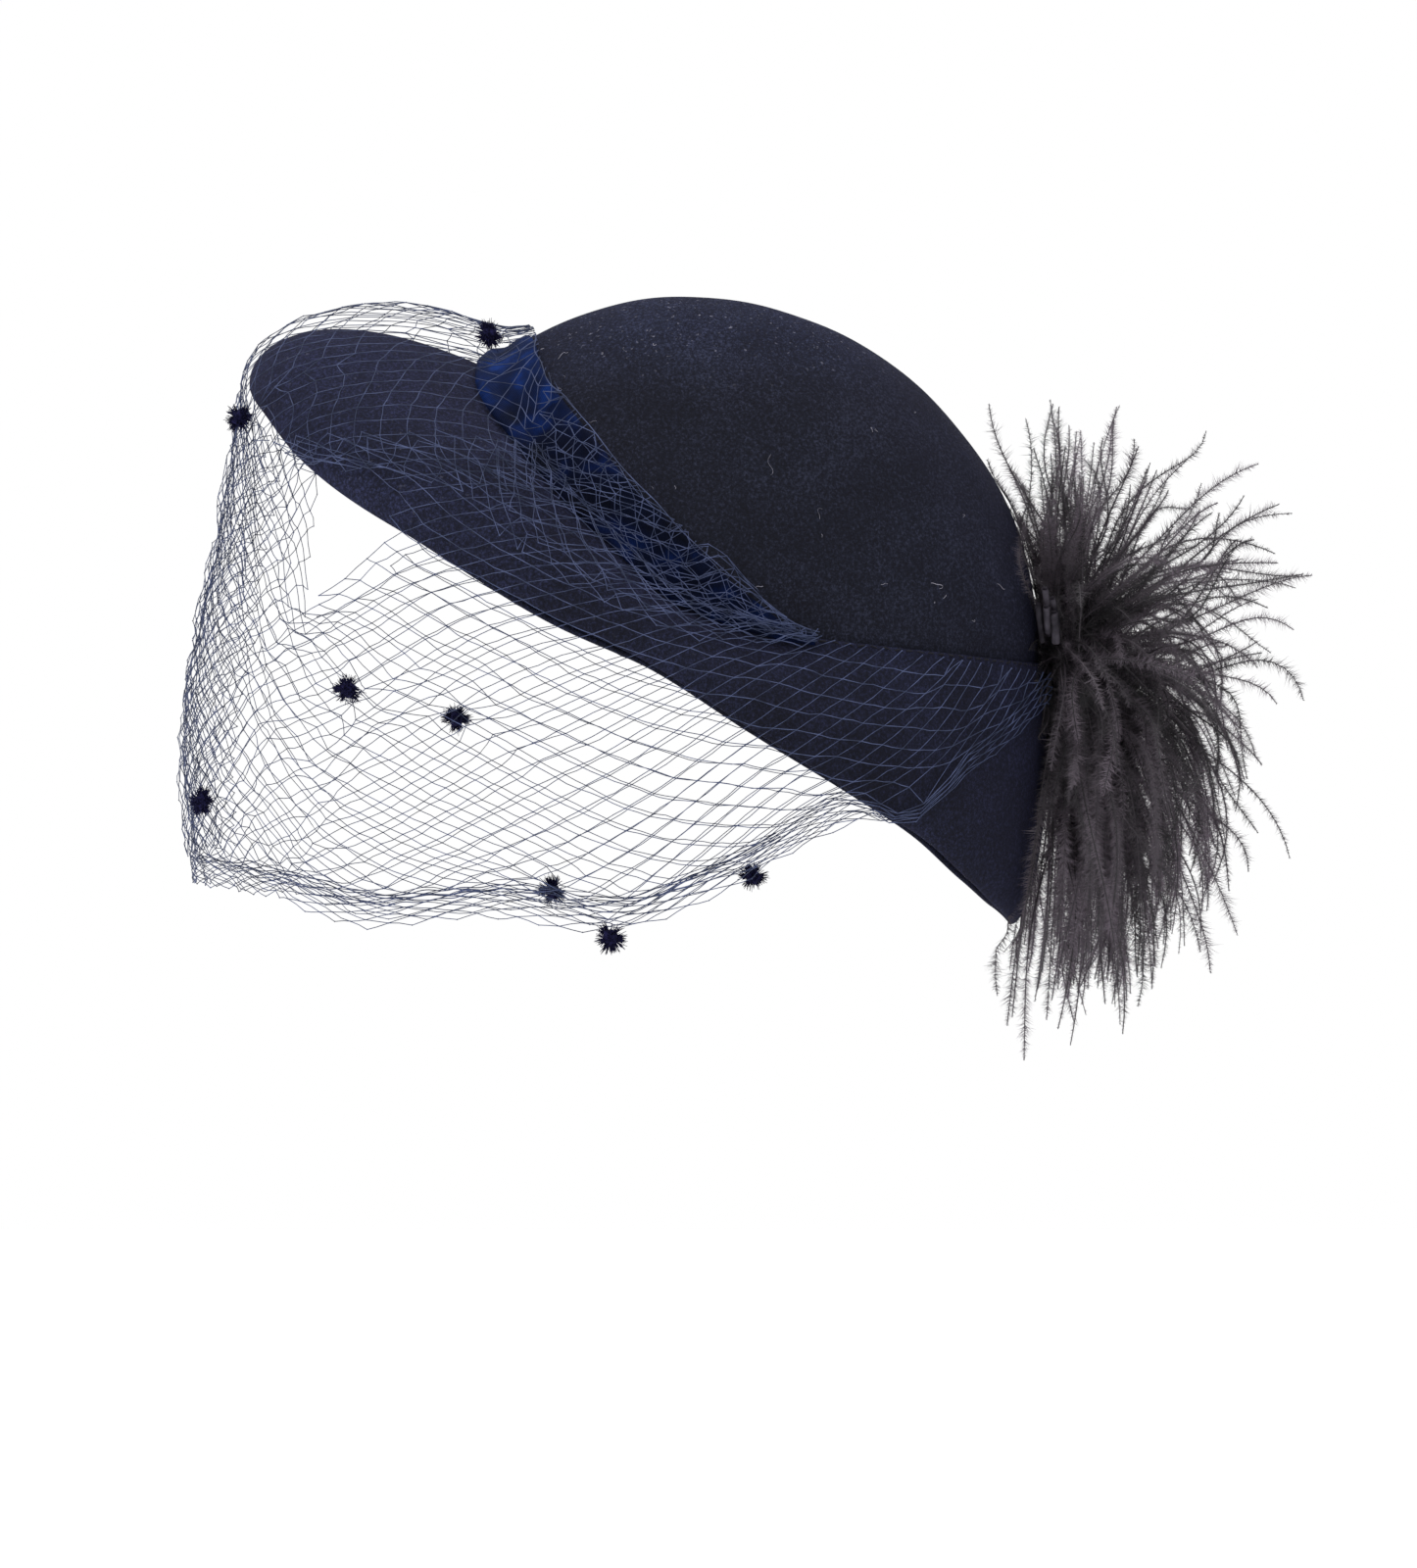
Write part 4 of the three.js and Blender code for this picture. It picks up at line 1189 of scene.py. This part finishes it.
@dataclass
class FeatherPompon:
    """Ostrich strands bound at the back of the crown: a thin dark rib with soft barbules on both sides."""

    y: float = 117.0
    z: float = -111.0
    up: float = 86.0
    back: float = 84.0
    down: float = 110.0
    strands: int = 530
    tufts: int = 190
    pieces: int = 5
    barbule: float = 4.6
    spacing: float = 0.19
    steps: int = 22
    tuft_lengths: tuple[float, float] = (14, 38)
    tail_shares: tuple[float, float] = (0.8, 1.0)  # of the length downwards
    crest_lengths: tuple[float, float] = (40, 78)
    curl: float = 0.27
    off_crown: float = 1.5  # how far the strands keep off the crown
    off_brim: float = 3.5  # the same at the top of the brim
    brim_fall: float = 8.0  # how much further forward the brim's lower part lies
    brim_run: float = 75.0  # how far down it has come forward
    wing: float = 62.0  # half the width over which the brim is in the way
    nape_z: float = -192.0
    shade_run: float = 68.0  # how far from the knot the painted shade of the pompon's dense middle reaches; beyond it the strands have their own tone
    quills: int = 16

    def routes(self, rng: np.random.Generator, count: int, tufts: int) -> Array:
        """Draws the lines that the strands follow: out from the knot, then over and down.

        Args:
            rng: the seeded source of chance.
            count: how many strands.
            tufts: how many of them are the short ones of the fluffy middle.

        Returns:
            The lines, as strand, point and coordinate.
        """
        way = rng.normal(size=(count * 6, 3)) * [0.8, 0.9, 1.05] + [0, 0.42, -0.16]
        way = unit(way[way[:, 1] > -0.1 * np.abs(way[:, 2]) - 0.25 * np.maximum(way[:, 2], 0)])[:count]
        way[:tufts] = unit(rng.normal(size=(tufts, 3)) * [1.0, 0.75, 1.0] + [0, 0.05, 0])
        tail, crest = tufts + count // 6, tufts + count // 6 + count // 12
        way[tufts:tail] = unit(rng.normal(size=(tail - tufts, 3)) * [0.42, 0.28, 0.15] + [0, 0.28, -1.0])
        way[tail:crest] = unit(rng.normal(size=(crest - tail, 3)) * [0.4, 0.22, 0.12] + [0, 0.02, 1.0])
        rise, fall = np.maximum(way[:, 2], 0), np.maximum(-way[:, 2], 0)
        length = self.back + (self.up - self.back) * np.minimum(rise * 1.3, 1)
        length = length + (self.down - self.back) * fall
        length *= 1 - 0.5 * rng.uniform(0, 1, count) ** 1.6
        length *= 1 - 0.22 * np.abs(way[:, 0]) ** 2
        length[:tufts] = rng.uniform(*self.tuft_lengths, tufts)
        length[tufts:tail] = self.down * rng.uniform(*self.tail_shares, tail - tufts)
        length[tail:crest] = rng.uniform(*self.crest_lengths, crest - tail)
        droop = (0.2 + 0.95 * (1 - rise) ** 1.5) * rng.uniform(0.55, 1.15, count)
        droop[:tufts] *= 0.6
        droop[tail:crest] *= 0.5
        s = np.linspace(0, 1, self.steps)
        bend = droop[:, None] * s[None] ** rng.uniform(1.0, 1.9, (count, 1))
        down = np.array([0, -0.12, -1.0])
        heading = way[:, None] * (1 - bend)[..., None] + down * bend[..., None]
        turns = rng.uniform(3, 9, (count, 1, 1))
        phase = rng.uniform(0, 6.3, (count, 1, 3))
        curl = rng.normal(0, self.curl, (count, 1, 3)) * np.array([1.2, 0.8, 0.8])
        heading = unit(heading + curl * np.sin(s[None, :, None] * turns + phase))
        step = (length / (self.steps - 1))[:, None, None]
        root = np.array([0, self.y, self.z]) + rng.normal(0, 1, (count, 3)) * [6, 1.6, 6]
        root[:tufts, 1] -= 3
        run = np.concatenate([np.zeros((count, 1, 3)), np.cumsum(heading[:, :-1], 1)], 1)
        return self.clear_of_felt(root[:, None] + run * step)

    def clear_of_felt(self, lines: Array) -> Array:
        """Moves points out of the back of the crown and brim, apart from the first two of each line."""
        rise = np.maximum(lines[..., 2] - SHAPE.spring_z, 0) / SHAPE.height
        spread = 1 - np.minimum(rise, 1) ** 2 - (lines[..., 0] / SHAPE.half_width) ** 2
        crown = SHAPE.back * np.sqrt(np.maximum(spread, 0)) + self.off_crown
        below = np.clip((SHAPE.spring_z - lines[..., 2]) / self.brim_run, 0, 1)
        wing = 1 - np.minimum(np.abs(lines[..., 0]) / self.wing, 1) ** 2
        brim = (SHAPE.back + self.off_brim - self.brim_fall * below) * np.sqrt(wing)
        brim = brim - 0.8 * np.maximum(self.nape_z - lines[..., 2], 0)
        wall = np.where(lines[..., 2] > SHAPE.spring_z, crown, brim)
        wall = np.where(np.arange(lines.shape[1]) < 2, 0, wall)
        moved = lines.copy()
        moved[..., 1] = np.maximum(lines[..., 1], wall)
        return moved

    def build(self, number: int) -> bpy.types.Object:
        """Builds one part of the pompon.

        Args:
            number: which part, from 0.

        Returns:
            The part's object.
        """
        rng = np.random.default_rng(50 + number)
        tufts = self.tufts // self.pieces
        count = self.strands // self.pieces + tufts
        lines = self.routes(rng, count, tufts)
        length = np.linalg.norm(np.diff(lines, axis=1), axis=-1).sum(-1)
        s = np.linspace(0, 1, lines.shape[1])
        radii = (0.4 - 0.25 * s)[None] * rng.uniform(0.75, 1.25, (count, 1))
        corners, faces = tubes(lines, radii, 3)
        shade = [np.repeat(rng.uniform(0, 0.2, count), lines.shape[1] * 3)]
        blades, blade_shade = [], []
        for k in range(count):
            many = int(length[k] * 0.95 / self.spacing)
            at = np.linspace(0.05, 1.0, many) + rng.normal(0, 0.003, many)
            spot = np.stack([np.interp(at, s, lines[k, :, c]) for c in range(3)], -1)
            along = unit(np.stack([np.interp(at, s, np.gradient(lines[k, :, c])) for c in range(3)], -1))
            across = unit(np.cross(along, unit(rng.normal(size=3) * [1.8, 0.6, 0.6])))
            lift = unit(np.cross(along, across))
            full = np.minimum(1, (1.02 - at) * 9) * np.minimum(1, 0.25 + at * 4)
            wide = self.barbule * rng.uniform(0.55, 1.15)
            # The short tufts of the middle get the darkest tones: painted shade of the pompon's dense
            # middle.
            tone = rng.uniform(0.0, 0.2) if k < tufts else rng.uniform(0.05, 1.0) ** 1.3
            for side in (-1, 1):
                clump = 0.8 + 0.2 * np.sin(at * length[k] * 0.9 + rng.uniform(0, 6))
                reach = wide * full * clump * rng.uniform(0.4, 1.2, many)
                sweep = along * rng.uniform(0.1, 1.9, (many, 1)) + lift * rng.normal(0.1, 0.75, (many, 1))
                tip = spot + unit(across * side + sweep) * reach[:, None]
                foot = along * (0.14 - 0.05 * at)[:, None]
                blades.append(np.stack([spot - foot, spot + foot, tip], 1))
                # Painted shade: barbules are darker near the knot, where the pompon's dense middle lies in
                # shade. Each barbule's two foot corners are darker than its tip.
                painted_core_shade = np.minimum(1, 0.05 + at * length[k] / self.shade_run)[:, None]
                blade_shade.append(tone * painted_core_shade * [0.4, 0.4, 1.0])
        blades = self.clear_of_felt(np.concatenate(blades))
        blade_faces = np.arange(len(blades) * 3).reshape(-1, 3) + len(corners)
        shade.append(np.concatenate(blade_shade).ravel())
        flue = OstrichFlue("ostrich_flue", deep="08070b", light="7b6f7c").material()
        every = np.concatenate([corners, blades.reshape(-1, 3)])
        faces = faces.tolist() + blade_faces.tolist()
        piece = mesh_object(f"ostrich_strands_{number + 1}", every, faces, flue)
        set_values(piece, "shade", np.concatenate(shade))
        return piece

    def quill_ends(self) -> bpy.types.Object:
        """Builds the bound ends of the quills, which show beside the crown.

        Returns:
            The quill ends' object.
        """
        rng = np.random.default_rng(77)
        count = self.quills
        hand = np.where(np.arange(count) % 2 == 0, 1, -1)[:, None] * [1.0, 0, 0]
        start = hand * 25 + [0, self.y - 5.5, self.z + 19] + rng.normal(0, 1, (count, 3)) * [2.5, 1.9, 1.6]
        end = start - hand * 7 + [0, 1.0, -9.0] + rng.normal(0, 1, (count, 3)) * [1, 0.8, 1.0]
        s = np.linspace(0, 1, 5)[None, :, None]
        lines = start[:, None] * (1 - s) + end[:, None] * s
        corners, faces = tubes(lines, np.full(lines.shape[:2], 1.0), 6)
        quill = TwistedThread("quill_ends", deep="211f25", light="4b4750").material()
        return mesh_object("quill_ends", corners, faces, quill)


# ---------------------------------------------------------------- the studio


@dataclass
class Studio:
    """A flat white floor under a white world, soft light from the front and above, and the camera at the
    hat's left side.
    """

    distance: float = 3.0
    middle: tuple[float, float] = (0.0084, -0.1471)  # what the camera looks at, as Y and Z
    frame_height: float = 0.48
    floor_z: float = -0.42
    floor_reach: float = 3000.0  # in millimetres
    lit: tuple[float, float, float] = (0, 0, -0.08)  # what the lights face

    def build(self) -> None:
        """Builds the floor, the lights, the world and the camera."""
        scene = bpy.context.scene
        scene.view_settings.view_transform = "Standard"
        world = bpy.data.worlds.new("studio")
        world.use_nodes = True
        background = world.node_tree.nodes["Background"]
        background.inputs[0].default_value = (1, 1, 1, 1)
        background.inputs[1].default_value = 1.0
        scene.world = world
        material, tree, shader = new_material("pale_floor")
        set_inputs(tree, shader, {
            "Base Color": linear("fbfbfb"), "Roughness": 0.9,
            "Emission Color": linear("ffffff"), "Emission Strength": 0.25})
        reach = self.floor_reach
        corners = np.array([
            [x, y, self.floor_z / MM]
            for x, y in ((-reach, -reach), (reach, -reach), (reach, reach), (-reach, reach))])
        mesh_object("floor", corners, [[0, 1, 2, 3]], material, smooth=False)
        for name, place, size, power in (
            ("key", (1.4, -1.0, 1.3), 1.4, 22.0),
            ("top", (-0.1, 0.3, 1.6), 1.6, 16.0),
        ):
            light = bpy.data.lights.new(name, "AREA")
            light.size, light.energy = size, power
            lamp = bpy.data.objects.new(name, light)
            lamp.location = place
            target = np.array(self.lit) - np.array(place)
            lamp.rotation_euler = Vector(target).to_track_quat("-Z", "Y").to_euler()
            scene.collection.objects.link(lamp)
        camera = bpy.data.cameras.new("camera")
        camera.lens = camera.sensor_width * self.distance / self.frame_height
        camera.clip_start = 0.1
        holder = bpy.data.objects.new("camera", camera)
        holder.location = (self.distance, *self.middle)
        holder.rotation_euler = (math.pi / 2, 0, math.pi / 2)
        scene.collection.objects.link(holder)
        scene.camera = holder


def dress(piece: bpy.types.Object, slot: str, *nodes: str) -> None:
    """Puts a piece on the hat in place of CAD nodes.

    Args:
        piece: the new object.
        slot: the record's material slot; not used.
        nodes: the CAD nodes that it stands for.
    """
    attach(piece, "root")
    if nodes:
        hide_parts(*nodes)
    LOG.info("%s: %d faces", piece.name, len(piece.data.polygons))


def main() -> None:
    """Builds the hat and its studio."""
    logging.basicConfig(level=logging.INFO, format="%(name)s: %(message)s")
    Studio().build()
    dress(FeltCrown().build(), "crown_felt", "crown")
    dress(FeltBrim().build(), "brim_felt", "brim")
    dress(JoinStitching().build(), "net")
    dress(FeltLint().build(), "crown_felt")
    ribbon = RibbonBand()
    band = ribbon.build()
    dress(band, "ribbon", "hat_band")
    dress(NetVeil().build(), "net", "veil")
    pile = ChenillePile().material()
    for dot in VeilDot:
        dress(ChenilleDot(dot).build(pile), "chenille", dot.value)
    pompon = FeatherPompon()
    dress(pompon.build(0), "feather", "feather_pompon")
    for number in range(1, pompon.pieces):
        dress(pompon.build(number), "feather")
    dress(pompon.quill_ends(), "feather")


if __name__ == "__main__":
    main()
